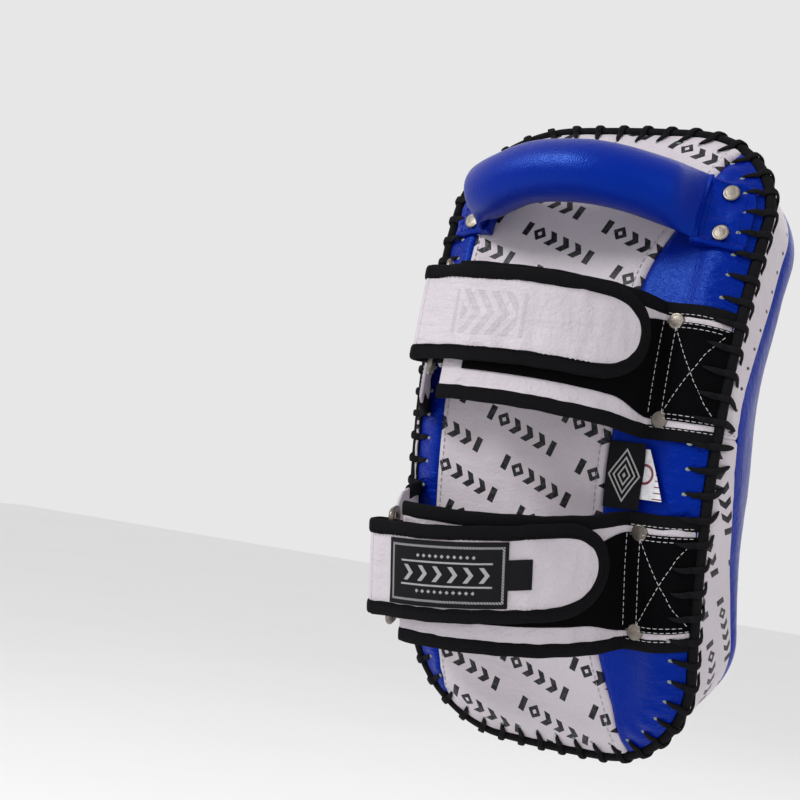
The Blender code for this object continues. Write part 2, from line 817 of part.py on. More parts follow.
def anchors(key, strap):
    """Laced-in patches that carry the strap's two ends, with their bindings and fabric."""
    spec = strap.spec
    half = STRAP_WIDTH / 2
    z0 = spec["z_anchor"]
    low = GAP
    high = GAP + PATCH_THICKNESS
    tape = high + TAPE_PROUD
    edge = PAD_WIDTH / 2 - EDGE - 3 * GAP
    inner = half - BINDING - GAP
    right = (spec["fold_x"], edge)
    left = (spec["root_x"], -edge)
    for side, reach in (("anchor", right), ("root", left)):
        patch(f"{key}_{side}_patch", strap, reach, (z0 - inner, z0 + inner), low, high,
              white_leather())
        patch(f"{key}_{side}_binding_top", strap, reach, (z0 + half - BINDING, z0 + half),
              low, tape, black_tape(), rows=1)
        patch(f"{key}_{side}_binding_bottom", strap, reach, (z0 - half, z0 - half + BINDING),
              low, tape, black_tape(), rows=1)
    patch(f"{key}_anchor_fabric", strap, (spec["fold_x"] + 0.0040, edge - 0.002),
          (z0 - LOOP_HALF_WIDTH, z0 + LOOP_HALF_WIDTH), high + GAP, high + GAP + LOOP_FABRIC,
          black_fabric())
    inset, spacing = ANCHOR_RIVET
    for name, z in (("top", z0 + spacing), ("bottom", z0 - spacing)):
        spot = back_point(spec["fold_x"] + inset, spec["s"] + z, tape + 2 * GAP)
        rivet(f"{key}_anchor_rivet_{name}", spot, strap.out)


# ---- small parts ----
def rivet(name, spot, way):
    """Domed cap of a tubular rivet."""
    turn = Vector((0, 0, 1)).rotation_difference(way).to_matrix().to_4x4()
    profile = ((RIVET_RADIUS * 0.92, 0.0), (RIVET_RADIUS, RIVET_HEIGHT * 0.45),
               (RIVET_RADIUS * 0.86, RIVET_HEIGHT * 0.85), (RIVET_RADIUS * 0.3, RIVET_HEIGHT))
    loops = []
    for radius, height in profile:
        loops.append([turn @ Vector((radius * math.cos(a), radius * math.sin(a), height)) + spot
                      for a in (2 * math.pi * k / 14 for k in range(14))])
    tube(name, loops, steel())


def handle_frame():
    angle = HANDLE_S / BEND_RADIUS
    base = bend(0.0, HANDLE_S, 0.0)
    along = Vector((0.0, math.sin(angle), math.cos(angle)))
    out = Vector((0.0, -math.cos(angle), math.sin(angle)))
    return base, along, out


def handle_arch(part):
    """0 at the grip's two ends, where it lies flat, and 1 in its middle."""
    return math.sin(math.pi / 2 * ease(1.0 - abs(part)))


def grip_loops(shrink, reach, sides, stations):
    """Cross-sections of the padded grip: round in the middle, flattened at both ends."""
    base, along, out = handle_frame()
    loops = []
    for t in spread(-1.0, 1.0, stations):
        x = reach * math.sin(t * math.pi / 2)
        part = x / HANDLE_HALF_SPAN
        arch = handle_arch(part)
        centre = (base + Vector((x, 0, 0)) + along * (HANDLE_LEAN * arch)
                  + out * (HANDLE_BASE + HANDLE_RISE * arch))
        step = 0.001
        slope = (handle_arch(part + step) - handle_arch(part - step)) / (
            2 * step * HANDLE_HALF_SPAN)
        tangent = (Vector((1, 0, 0)) + along * (HANDLE_LEAN * slope)
                   + out * (HANDLE_RISE * slope)).normalized()
        wide = (along - tangent * along.dot(tangent)).normalized()
        thick = tangent.cross(wide)
        round_part = ease((1.0 - abs(part)) / 0.30)
        half_w = (TAB_WIDTH + (GRIP_WIDTH - TAB_WIDTH) * round_part) / 2 - shrink
        half_t = (GRIP_END + (GRIP_THICKNESS - GRIP_END) * round_part) / 2 - shrink
        loop = []
        for k in range(sides):
            a = 2 * math.pi * k / sides
            loop.append(centre + wide * (half_w * math.cos(a)) + thick * (half_t * math.sin(a)))
        loops.append(loop)
    return loops


def handle():
    """Padded leather grip, held at both ends by flat riveted tabs."""
    outer = grip_loops(0.0, HANDLE_HALF_SPAN, 14, 17)
    inner = grip_loops(LEATHER, HANDLE_HALF_SPAN, 14, 17)
    bm = bmesh.new()
    walls = [[[bm.verts.new(p) for p in loop] for loop in loops] for loops in (outer, inner)]
    for rings in walls:
        for first, second in zip(rings, rings[1:]):
            for k in range(14):
                m = (k + 1) % 14
                bm.faces.new((first[k], first[m], second[m], second[k]))
    for end in (0, -1):
        for k in range(14):
            m = (k + 1) % 14
            bm.faces.new((walls[0][end][k], walls[0][end][m], walls[1][end][m], walls[1][end][k]))
    finish_object("handle_sleeve", bm, blue_leather())
    filling = grip_loops(LEATHER + 2 * GAP, HANDLE_HALF_SPAN, 14, 17)[1:-1]
    tube("handle_filling", filling, foam())
    for name, side in (("left", -1), ("right", 1)):
        handle_tab(name, side)


def handle_tab(name, side):
    """Flat end of the handle, riveted to the back and laced in at its edge."""
    start = HANDLE_HALF_SPAN + 2 * GAP
    half = TAB_WIDTH / 2
    grid = []
    for part in spread(0.0, 1.0, 6):
        row = []
        for z in spread(-half, half, 5):
            s = HANDLE_S + z
            near = plain_x(start, s)
            x = near + (edge_half_width(s, EDGE + 0.001) - near) * part
            row.append((side * x, s))
        grid.append(row)

    def at(offset):
        def point(x, s):
            past = abs(x) - plain_x(start, s)
            settle = 1.0 - ease(past / TAB_SETTLE)
            lift = (HANDLE_BASE - TAB_THICKNESS / 2 - GAP) * settle
            return back_point(x, s, GAP + lift + offset)
        return point

    slab(f"handle_tab_{name}", grid, at(0.0), at(TAB_THICKNESS), blue_leather())
    _, _, out = handle_frame()
    inset, spacing = HANDLE_RIVET
    for which, z in (("top", spacing), ("bottom", -spacing)):
        spot = back_point(side * (HANDLE_HALF_SPAN + inset), HANDLE_S + z,
                          3 * GAP + TAB_THICKNESS)
        tilt = out + Vector((side * 0.11, 0, 0))
        rivet(f"handle_rivet_{name}_{which}", spot, tilt.normalized())


def labels():
    """Woven label and a small tag behind it, both caught in the back's right seam."""
    seam = seam_right(0.0) + 0.0008

    def sheet(name, size, low, high, finish):
        width, bottom, top = size
        grid = [[(x, s) for x in spread(seam, seam + width, 4)] for s in spread(bottom, top, 5)]
        slab(name, grid, lambda x, s: back_point(x, s, low + LABEL_SLANT * (x - seam)),
             lambda x, s: back_point(x, s, high + LABEL_SLANT * (x - seam)), finish)

    sheet("care_tag", CARE_TAG, GAP, GAP + 0.0005, white_leather())
    sheet("side_label", LABEL, 0.0013, 0.0022, black_fabric())


def woven_label(strap):
    """Big woven label and a small tab on the lower tongue's outer face."""
    spec = strap.spec
    path = tongue_path(spec)
    walked = lengths(path)
    total = walked[-1]
    thick = TONGUE_THICKNESS / 2

    def centre_from(first):
        def centre(d, _):
            return spec["z_ring"] + (spec["z_tip"] - spec["z_ring"]) * (d + first) / total
        return centre

    def piece(name, start, end, half):
        points = []
        for d in spread(start, end, max(2, int((end - start) / 0.009))):
            for i in range(len(path) - 1):
                if walked[i] <= d <= walked[i + 1]:
                    share = (d - walked[i]) / (walked[i + 1] - walked[i])
                    points.append(path[i].lerp(path[i + 1], share))
                    break
        strip(name, strap, points, centre_from(start), lambda d, t: (-half, half),
              -thick - GAP - WOVEN_THICKNESS, -thick - GAP, black_fabric())

    piece("woven_label", *WOVEN_LABEL, TONGUE_WIDTH / 2 - BINDING - 2 * GAP)
    piece("size_tab", *SIZE_TAB, SIZE_TAB_HALF)


def joint_guides():
    """Empties on every moving body's axis, with that body's objects as children."""
    hinges = {}
    for key in STRAPS:
        strap = Strap(key)
        spec = strap.spec
        z = spec["z_ring"]
        fold = fold_hinge(spec)
        hinges[f"{key}_band_hinge"] = strap.world(spec["fold_x"], z, HINGE_HEIGHT)
        hinges[f"{key}_tongue_hinge"] = strap.world(fold.x, z, fold.y)
        hinges[f"{key}_ring_hinge"] = strap.world(spec["bar"][0], z, spec["bar"][1])
        hinges[f"{key}_root_hinge"] = strap.world(spec["root_x"], z, HINGE_HEIGHT)
    base, _, out = handle_frame()
    hinges["handle_hinge"] = base + out * HANDLE_BASE
    label_s = (LABEL[1] + LABEL[2]) / 2
    hinges["label_hinge"] = back_point(seam_right(0.0) + 0.0006, label_s, 0.0010)
    empties = {}
    for name, spot in hinges.items():
        empty = bpy.data.objects.new(name, None)
        empty.location = spot
        empty.empty_display_size = 0.01
        bpy.context.scene.collection.objects.link(empty)
        empties[name] = empty
    bpy.context.view_layer.update()
    for key in STRAPS:
        band = [f"{key}_{n}" for n in ("band", "band_binding_top", "band_binding_bottom",
                                       "loop_fabric", "strap_tail")]
        tongue = [f"{key}_{n}" for n in ("tongue", "tongue_binding", "hook_fabric")]
        if key == "lower":
            tongue += ["woven_label", "size_tab"]
        attach(empties[f"{key}_band_hinge"], band)
        attach(empties[f"{key}_tongue_hinge"], tongue)
        attach(empties[f"{key}_ring_hinge"], [f"{key}_ring"])
        attach(empties[f"{key}_root_hinge"], [f"{key}_root_strap"])
    attach(empties["handle_hinge"], ["handle_sleeve", "handle_filling"])
    attach(empties["label_hinge"], ["side_label", "care_tag"])


def attach(empty, names):
    for name in names:
        child = bpy.data.objects[name]
        child.parent = empty
        child.matrix_parent_inverse = empty.matrix_world.inverted()


def main():
    for old in list(bpy.data.objects):
        bpy.data.objects.remove(old, do_unlink=True)
    striking_panel()
    gussets()
    back_panels()
    foam_layers()
    edge_cord()
    for key in STRAPS:
        strap = Strap(key)
        forearm_band(key, strap)
        closing_strap(key, strap)
        steel_ring(key, strap)
        root_strap(key, strap)
        anchors(key, strap)
    woven_label(Strap("lower"))
    handle()
    labels()
    joint_guides()


main()
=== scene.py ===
"""Looks of the thai pad: leather, lacing, straps, prints and studio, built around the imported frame.

Lengths are metres in the frame's own axes: +Z runs along the pad towards the handle, -Y points out
of the strap side. x is across the pad, s along its curved back and n (or lift) off the back.
"""
import json
import math
from bisect import bisect_right
from functools import partial, partialmethod

import bmesh
import bpy
from mathutils import Matrix, Vector, kdtree, noise

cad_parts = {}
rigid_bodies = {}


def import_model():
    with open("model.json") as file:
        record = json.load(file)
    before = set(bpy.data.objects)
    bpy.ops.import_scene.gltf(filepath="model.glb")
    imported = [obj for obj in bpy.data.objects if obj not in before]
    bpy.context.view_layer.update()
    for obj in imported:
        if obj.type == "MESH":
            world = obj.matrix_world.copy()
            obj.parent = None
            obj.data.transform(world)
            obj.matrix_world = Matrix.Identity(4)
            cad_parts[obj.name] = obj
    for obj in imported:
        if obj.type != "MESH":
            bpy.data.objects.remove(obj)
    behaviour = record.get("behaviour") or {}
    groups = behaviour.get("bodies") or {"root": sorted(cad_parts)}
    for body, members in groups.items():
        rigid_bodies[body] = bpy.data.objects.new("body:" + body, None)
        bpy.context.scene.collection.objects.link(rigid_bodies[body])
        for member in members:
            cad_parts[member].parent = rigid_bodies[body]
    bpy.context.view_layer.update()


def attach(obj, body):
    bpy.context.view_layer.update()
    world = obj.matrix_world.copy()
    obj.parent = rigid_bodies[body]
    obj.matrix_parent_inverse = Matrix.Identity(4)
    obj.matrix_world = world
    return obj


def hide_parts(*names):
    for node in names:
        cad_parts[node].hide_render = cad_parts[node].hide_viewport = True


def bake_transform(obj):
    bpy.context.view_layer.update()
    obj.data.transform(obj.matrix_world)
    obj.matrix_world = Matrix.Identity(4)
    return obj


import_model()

# ---- dimensions shared with the frame ----
PAD_LENGTH = 0.395
PAD_WIDTH = 0.195
PAD_THICKNESS = 0.092
TAPER = 0.037
CORNER_RADIUS = 0.060
END_ARCH = 0.006
BEND_RADIUS = 0.43
BACK_CROWN = 0.004
SHOULDER_POWER = 3.0
SEAM_MIDDLE = 0.0176
SEAM_TOP = 0.041
SEAM_BOTTOM = 0.061
SEAM_S = 0.006
SEAM_RUN_TOP = 0.097
SEAM_RUN_BOTTOM = 0.150
SIDE_FLARE = 0.009
FLARE_S = -0.015
FLARE_REACH = 0.065
SEAM_LEFT = -0.0755
SEAM_RIGHT = 0.037
SEAM_RIGHT_TOP = 0.034
SEAM_RIGHT_BOTTOM = 0.018
STRAP_WIDTH = 0.080
TONGUE_WIDTH = 0.055
BINDING = 0.0085
LOOP_HALF_WIDTH = 0.0225
TONGUE_OFFSET = 0.0058
TAIL_OFFSET = -0.0038
TONGUE_END = 0.034
FOLD_REACH = 0.0070
RING_WIRE = 0.0018
RING_SPAN = 0.0640
RING_PITCH = 0.0150
RING_CORNER = 0.0040
HANDLE_S = 0.137
HANDLE_HALF_SPAN = 0.066
HANDLE_RISE = 0.034
HANDLE_LEAN = 0.004
HANDLE_BASE = 0.0070
GRIP_REACH = 1.05           # the sleeve ends inside its tabs, this far past the span
GRIP_FULLNESS = 0.0018      # the stuffed sleeve is wider than its CAD solid
GRIP_END_SAG = 0.0055       # its left end hangs lower than the rest
GRIP_THICKNESS = 0.033
GRIP_WIDTH = 0.037
GRIP_END = 0.0080
TAB_WIDTH = 0.042
STRAPS = {
    "upper": {
        "s": 0.044, "fold_x": 0.058, "root_x": -0.084, "bar": (-0.051, 0.063),
        "rise": (0.052, 0.050), "crest": (-0.002, 0.072), "tip": 0.012,
        "z_anchor": -0.004, "z_band": -0.004, "z_ring": 0.004, "z_tip": 0.008},
    "lower": {
        "s": -0.084, "fold_x": 0.0535, "root_x": -0.084, "bar": (-0.058, 0.073),
        "rise": (0.046, 0.056), "crest": (-0.009, 0.083), "tip": 0.017,
        "z_anchor": 0.002, "z_band": 0.006, "z_ring": 0.006, "z_tip": 0.015},
}

# ---- dimensions of the finish ----
LEATHER = 0.0016
PATCH = 0.0022              # strap leather
TAPE = 0.0041               # binding tape round the strap leather, all layers
FABRIC = 0.0011
CORD_RADIUS = 0.0031
LACE_PITCH = 0.0146
LACE_REACH = 0.0125         # slits on the back, inside the edge
EDGE_DROP = 0.0048          # the back rounds off this far at its edge
EDGE_ROUND = 0.016
EDGE_RIDGE = 0.0026         # stuffing swells up between the laces and the flat back
CORD_DEPTH = BACK_CROWN + EDGE_DROP
SEAM_DIP = 0.0013           # leather turns in where two panels are sewn
PUCKER = 0.0006             # waves of the leather between two lace slits
STRAP_STITCH = 0.0026
STRAP_STITCH_PITCH = 0.0036
THREAD = 0.00021            # radius
STITCH_PROFILE = ((0.0, 0.35, -0.4), (0.15, 0.9, 0.3), (0.5, 1.1, 0.8), (0.85, 0.9, 0.3),
                  (1.0, 0.35, -0.4))      # along the stitch, thickness, lift
RIVET_RADIUS = 0.0050
TAB_BOX = (0.0055, 0.0245, 0.0185)              # stitched box: start, end and half height
TAB_RIVETS = (0.0156, 0.013)                    # past the grip's end, and off its middle
PILE_HALF_WIDTH = 0.0285
HOOK_HALF_WIDTH = 0.0165
ROOT_END_HALF_WIDTH = 0.0255                    # the root strap narrows to this at its ring
STRAP_RIVETS = (0.0082, 0.0285)                 # short of the fold, and off the middle
STRAP_INNER = STRAP_WIDTH / 2 - 0.0015          # leather ends inside its binding
STRAP_LIFT = PATCH / 2 + 0.0004                 # middle of the strap leather over the back
TAPE_SEAM = STRAP_WIDTH / 2 - BINDING + 0.0016  # thread beside the bindings
TONGUE_HALF = 0.0011                            # half the tongue's thickness
TONGUE_TAPE_HALF = 0.0021
SIDES = (("top", 1), ("bottom", -1))


def spread(start, end, count):
    return [start + (end - start) * i / (count - 1) for i in range(count)]


def turns(count, shift=0.0):
    """Angles evenly round a full turn."""
    return [2 * math.pi * (k + shift) / count for k in range(count)]


def degrees(values):
    return [math.radians(value) for value in values]


def signed_power(value, power):
    return math.copysign(abs(value) ** power, value)


def oval(middle, across, up, wide, deep, count, powers=(1.0, 1.0), shift=0.0):
    """Loop of points round a middle; powers below 1 square its sides off."""
    return [middle + across * (wide * signed_power(math.cos(a), powers[0]))
            + up * (deep * signed_power(math.sin(a), powers[1])) for a in turns(count, shift)]


def walk_along(points):
    """Distance walked to each point of a run."""
    walked = [0.0]
    for first, second in zip(points, points[1:]):
        walked.append(walked[-1] + (second - first).length)
    return walked


def locate(walked, d):
    """Number of the stretch that d falls on, and the share of it already walked."""
    i = min(len(walked) - 2, max(0, bisect_right(walked, d) - 1))
    return i, (d - walked[i]) / max(1e-9, walked[i + 1] - walked[i])


def ease(value):
    value = min(1.0, max(0.0, value))
    return value * value * (3.0 - 2.0 * value)


# ---- the pad's surfaces, as in the frame ----
def bend(x, s, n):
    angle = s / BEND_RADIUS
    reach = BEND_RADIUS - n
    return Vector((x, BEND_RADIUS - reach * math.cos(angle), reach * math.sin(angle)))


def place(x, s, n):
    half_width = PAD_WIDTH / 2
    across = x / half_width
    along = s * (1.0 - END_ARCH / (PAD_LENGTH / 2) * across * across)
    return bend(x * (1.0 + TAPER * along / half_width), along, n)


def outline_length():
    flat_end = PAD_WIDTH / 2 - CORNER_RADIUS
    flat_side = PAD_LENGTH - 2 * CORNER_RADIUS
    return 2 * flat_end + math.pi * CORNER_RADIUS + flat_side


def outline(u):
    """Rounded rectangle; u is 0 at the top's middle and +1 or -1 at the bottom's middle."""
    flat_end = PAD_WIDTH / 2 - CORNER_RADIUS
    quarter = math.pi / 2 * CORNER_RADIUS
    walk = abs(u) * outline_length()
    end = 1.0 if walk < outline_length() / 2 else -1.0
    walk = min(walk, outline_length() - walk)
    angle = min(1.0, max(0.0, (walk - flat_end) / quarter)) * math.pi / 2
    x = min(walk, flat_end) + CORNER_RADIUS * math.sin(angle)
    s = PAD_LENGTH / 2 - CORNER_RADIUS * (1 - math.cos(angle))
    s -= max(0.0, walk - flat_end - quarter)
    return math.copysign(1.0, u) * x, end * s


def wrapped(u):
    return (u + 1.0) % 2.0 - 1.0


def spine(s):
    reach = PAD_LENGTH / 2 - PAD_WIDTH / 2
    return min(reach, max(-reach, s))


def ray_length(u):
    x, s = outline(u)
    return math.hypot(x, s - spine(s))


def inside(u, inset):
    """Back coordinates of a point that lies inset inside the outline."""
    x, s = outline(u)
    middle = spine(s)
    scale = 1.0 - inset / ray_length(u)
    return x * scale, middle + (s - middle) * scale


def pad_point(u, inset, n):
    return place(*inside(u, inset), n)


def seam_height(s):
    up = (SEAM_TOP - SEAM_MIDDLE) * ease((s - SEAM_S) / SEAM_RUN_TOP)
    down = (SEAM_BOTTOM - SEAM_MIDDLE) * ease((SEAM_S - s) / SEAM_RUN_BOTTOM)
    return SEAM_MIDDLE + up + down


def flare(s):
    return SIDE_FLARE * math.exp(-((s - FLARE_S) / FLARE_REACH) ** 2)


def shoulder(u, angle):
    """Inset and depth on the striking face's dome, from its seam (0) to its middle (90 deg)."""
    _, s = outline(u)
    seam = BACK_CROWN + seam_height(s)
    reach = ray_length(u) + flare(s)
    power = 2.0 / SHOULDER_POWER
    inset = ray_length(u) - reach * max(0.0, math.cos(angle)) ** power
    return inset, seam + (PAD_THICKNESS - seam) * math.sin(angle) ** power


def gusset_inset(u, part):
    """Inset and depth on the white side wall, from the edge (0) to the seam (1)."""
    _, s = outline(u)
    return -flare(s) * part, BACK_CROWN + seam_height(s) * part


def back_depth(x, s):
    across = min(1.0, abs(x) / (PAD_WIDTH / 2))
    along = min(1.0, abs(s) / (PAD_LENGTH / 2))
    return BACK_CROWN * (1.0 - (1.0 - across ** 4) * (1.0 - along ** 4))


def back_point(x, s, lift):
    return place(x, s, back_depth(x, s) - lift)


def plain_x(x, s):
    return x / (1.0 + TAPER * s / (PAD_WIDTH / 2))


def seam_right(s):
    top = SEAM_RIGHT_TOP * ease((s - 0.085) / 0.115)
    bottom = SEAM_RIGHT_BOTTOM * ease((-s - 0.110) / 0.090)
    return SEAM_RIGHT + top + bottom


def edge_half_width(s, inset):
    radius = CORNER_RADIUS - inset
    half_width = PAD_WIDTH / 2 - inset
    past = abs(s) - (PAD_LENGTH / 2 - CORNER_RADIUS)
    if past <= 0:
        return half_width
    return half_width - radius + math.sqrt(max(0.0, radius * radius - past * past))


def edge_place(x, s):
    """How far along the outline and how far inside it a point of the back lies."""
    straight_x = PAD_WIDTH / 2 - CORNER_RADIUS
    straight_s = PAD_LENGTH / 2 - CORNER_RADIUS
    over_x = abs(x) - straight_x
    over_s = abs(s) - straight_s
    if over_x > 0 and over_s > 0:
        inset = CORNER_RADIUS - math.hypot(over_x, over_s)
        corner = math.atan2(over_x, over_s) * CORNER_RADIUS
        walk = straight_x + corner
    elif over_x - CORNER_RADIUS > over_s - CORNER_RADIUS:
        inset = CORNER_RADIUS - over_x
        walk = straight_x + math.pi / 2 * CORNER_RADIUS + straight_s - abs(s)
    else:
        inset = CORNER_RADIUS - over_s
        walk = abs(x)
    if s < 0:
        walk = outline_length() - walk
    return walk, inset


# ---- meshes ----
BUILT = []


def keep(obj, body=None, blend=None, replaces=(), fill=None, cut=None):
    """Remember how a finished piece rides, what it stands for, and its fill and cut figures."""
    BUILT.append((obj, body, blend, replaces, fill, cut))


def mesh_object(name, bm, finish, sharp=60):
    bmesh.ops.recalc_face_normals(bm, faces=bm.faces)
    mesh = bpy.data.meshes.new(name)
    bm.to_mesh(mesh)
    bm.free()
    mesh.materials.append(finish)
    made = bpy.data.objects.new(name, mesh)
    bpy.context.scene.collection.objects.link(made)
    mesh.shade_smooth()
    mesh.set_sharp_from_angle(angle=math.radians(sharp))
    return made


def set_uv(bm, face, values):
    layer = bm.loops.layers.uv.verify()
    for loop, value in zip(face.loops, values):
        loop[layer].uv = value


def sheet_bmesh(grid, point, low, high, uv=None):
    """Closed sheet over a grid of (a, b); point(a, b, h) lies h off its middle surface."""
    bm = bmesh.new()
    bm.loops.layers.uv.verify()
    tops = [[bm.verts.new(point(a, b, high)) for a, b in row] for row in grid]
    lows = [[bm.verts.new(point(a, b, low)) for a, b in row] for row in grid]
    where = uv or (lambda a, b: (a, b))
    marks = [[where(a, b) for a, b in row] for row in grid]
    rows, columns = len(grid), len(grid[0])
    for i in range(rows - 1):
        for k in range(columns - 1):
            spots = ((i, k), (i, k + 1), (i + 1, k + 1), (i + 1, k))
            values = [marks[r][c] for r, c in spots]
            set_uv(bm, bm.faces.new([tops[r][c] for r, c in spots]), values)
            set_uv(bm, bm.faces.new([lows[r][c] for r, c in reversed(spots)]), values[::-1])
    rim = []
    for i in range(rows - 1):
        rim += [((i, 0), (i + 1, 0)), ((i + 1, columns - 1), (i, columns - 1))]
    for k in range(columns - 1):
        rim += [((0, k + 1), (0, k)), ((rows - 1, k), (rows - 1, k + 1))]
    for a, b in rim:
        quad = (tops[a[0]][a[1]], tops[b[0]][b[1]], lows[b[0]][b[1]], lows[a[0]][a[1]])
        values = [marks[r][c] for r, c in (a, b, b, a)]
        set_uv(bm, bm.faces.new(quad), values)
    return bm


def round_rim(bm, width):
    """Soften the sheet's four sharp rims."""
    bmesh.ops.recalc_face_normals(bm, faces=bm.faces)
    edges = [e for e in bm.edges if len(e.link_faces) == 2
             and e.calc_face_angle(0.0) > math.radians(55)]
    bmesh.ops.bevel(bm, geom=edges, offset=width, segments=2, affect="EDGES", profile=0.5,
                    clamp_overlap=True)


def sheet(name, grid, point, low, high, finish, uv=None):
    bm = sheet_bmesh(grid, point, low, high, uv)
    round_rim(bm, (high - low) * 0.3)
    return mesh_object(name, bm, finish)


def tube(name, loops, finish, closed=False, sharp=60):
    """Skin over loops of points: capped at both ends, or joined end to start."""
    bm = bmesh.new()
    bm.loops.layers.uv.verify()
    rings = [[bm.verts.new(p) for p in loop] for loop in loops]
    count = len(rings[0])
    runs = walk_along([loop[0] for loop in loops + loops[:1]])
    around = walk_along(loops[0] + loops[0][:1])
    last = len(rings) if closed else len(rings) - 1
    for i in range(last):
        first, second = rings[i], rings[(i + 1) % len(rings)]
        for k in range(count):
            m = (k + 1) % count
            face = bm.faces.new((first[k], first[m], second[m], second[k]))
            set_uv(bm, face, [(runs[i + r], around[k + c])
                              for r, c in ((0, 0), (0, 1), (1, 1), (1, 0))])
    if not closed:
        bm.faces.new(rings[0])
        bm.faces.new(rings[-1])
    return mesh_object(name, bm, finish, sharp)


def join(name, parts):
    """One object out of several."""
    bpy.ops.object.select_all(action="DESELECT")
    for part in parts:
        part.select_set(True)
    bpy.context.view_layer.objects.active = parts[0]
    if len(parts) > 1:
        bpy.ops.object.join()
    parts[0].name = name
    parts[0].data.name = name
    return parts[0]


def stitches(name, run, finish, pitch=STRAP_STITCH_PITCH, length=STRAP_STITCH, radius=THREAD):
    """Thread along a run of (point, normal) pairs, as short humped capsules."""
    walked = walk_along([spot for spot, _ in run])

    def at(d):
        i, share = locate(walked, d)
        return [a.lerp(b, share) for a, b in zip(run[i], run[i + 1])]

    bm = bmesh.new()
    start = 0.0
    while start + length < walked[-1]:
        rings = []
        for part, size, lift in STITCH_PROFILE:
            spot, up = at(start + length * part)
            ahead, _ = at(start + length * part + 0.0002)
            across = (ahead - spot).normalized().cross(up).normalized()
            loop = oval(spot + up * (radius * lift), across, up, radius * size, radius * size, 6)
            rings.append([bm.verts.new(p) for p in loop])
        for first, second in zip(rings, rings[1:]):
            for k in range(6):
                m = (k + 1) % 6
                bm.faces.new((first[k], first[m], second[m], second[k]))
        bm.faces.new(rings[0])
        bm.faces.new(rings[-1])
        start += pitch
    return mesh_object(name, bm, finish, 80)


def sew(name, run, finish, body="pad", blend=None, **sizes):
    """A line of stitches that rides on a body, or is stored with a joint's crossing and stays where
    it is built.
    """
    keep(stitches(name, run, finish, **sizes), None if blend else body, blend)


# ---- materials ----
class Field:
    """A value that varies over a surface, with arithmetic on its node socket."""

    def __init__(self, paint, socket):
        self.paint = paint
        self.socket = socket

    def math(self, operation, *others):
        return self.paint.math(operation, self, *others)


for method, node_operation in {
        "__add__": "ADD", "__sub__": "SUBTRACT", "__mul__": "MULTIPLY", "__truediv__": "DIVIDE",
        "__abs__": "ABSOLUTE", "floor": "FLOOR", "under": "LESS_THAN", "over": "GREATER_THAN",
        "either": "MAXIMUM", "wrap": "FLOORED_MODULO", "sine": "SINE"}.items():
    setattr(Field, method, partialmethod(Field.math, node_operation))


class Paint:
    """A material being built: its coordinates, its fields and its shader."""

    def __init__(self, name, roughness, metallic=0.0, **constants):
        self.material = bpy.data.materials.new(name)
        self.material.use_nodes = True
        self.tree = self.material.node_tree
        self.shader = self.tree.nodes["Principled BSDF"]
        self.shader.inputs["Roughness"].default_value = roughness
        self.shader.inputs["Metallic"].default_value = metallic
        for key, value in constants.items():
            title = key.replace("_", " ").title().replace("Ior", "IOR")
            self.shader.inputs[title].default_value = value
        coordinates = self.node("TexCoord")
        self.place = coordinates.outputs["Object"]
        split = self.node("SeparateXYZ", Vector=coordinates.outputs["UV"])
        self.u = Field(self, split.outputs[0])
        self.v = Field(self, split.outputs[1])

    def feed(self, socket, value):
        """Link a field or another node's output to a socket, or set a constant on it."""
        if isinstance(value, Field):
            value = value.socket
        if isinstance(value, bpy.types.NodeSocket):
            self.tree.links.new(value, socket)
        else:
            socket.default_value = value

    def node(self, kind, **inputs):
        made = self.tree.nodes.new("ShaderNode" + kind)
        for title, value in inputs.items():
            self.feed(made.inputs[title], value)
        return made

    def math(self, operation, *values):
        made = self.node("Math")
        made.operation = operation
        for socket, value in zip(made.inputs, values):
            self.feed(socket, value)
        return Field(self, made.outputs[0])

    def stretched(self, scale):
        return self.node("Mapping", Scale=scale, Vector=self.place).outputs[0]

    def noise(self, scale, detail=3.0, where=None):
        made = self.node("TexNoise", Scale=scale, Detail=detail, Vector=where or self.place)
        return Field(self, made.outputs[0])

    def cells(self, scale):
        made = self.node("TexVoronoi", Scale=scale, Vector=self.place)
        return Field(self, made.outputs["Distance"])

    def blend(self, first, second, share):
        made = self.node("Mix")
        made.data_type = "RGBA"
        made.clamp_factor = True
        self.feed(made.inputs[0], share)
        for socket, value in ((made.inputs[6], first), (made.inputs[7], second)):
            self.feed(socket, value if isinstance(value, Field) else (*value, 1.0))
        return Field(self, made.outputs[2])

    def colour(self, field):
        self.feed(self.shader.inputs["Base Color"], field)

    def roughness(self, field):
        self.feed(self.shader.inputs["Roughness"], field)

    def relief(self, *layers):
        """Bump from (height, depth in metres) layers, one on another."""
        below = None
        for height, depth in layers:
            made = self.node("Bump", Distance=depth, Height=height)
            if below:
                self.feed(made.inputs["Normal"], below)
            below = made.outputs[0]
        self.feed(self.shader.inputs["Normal"], below)


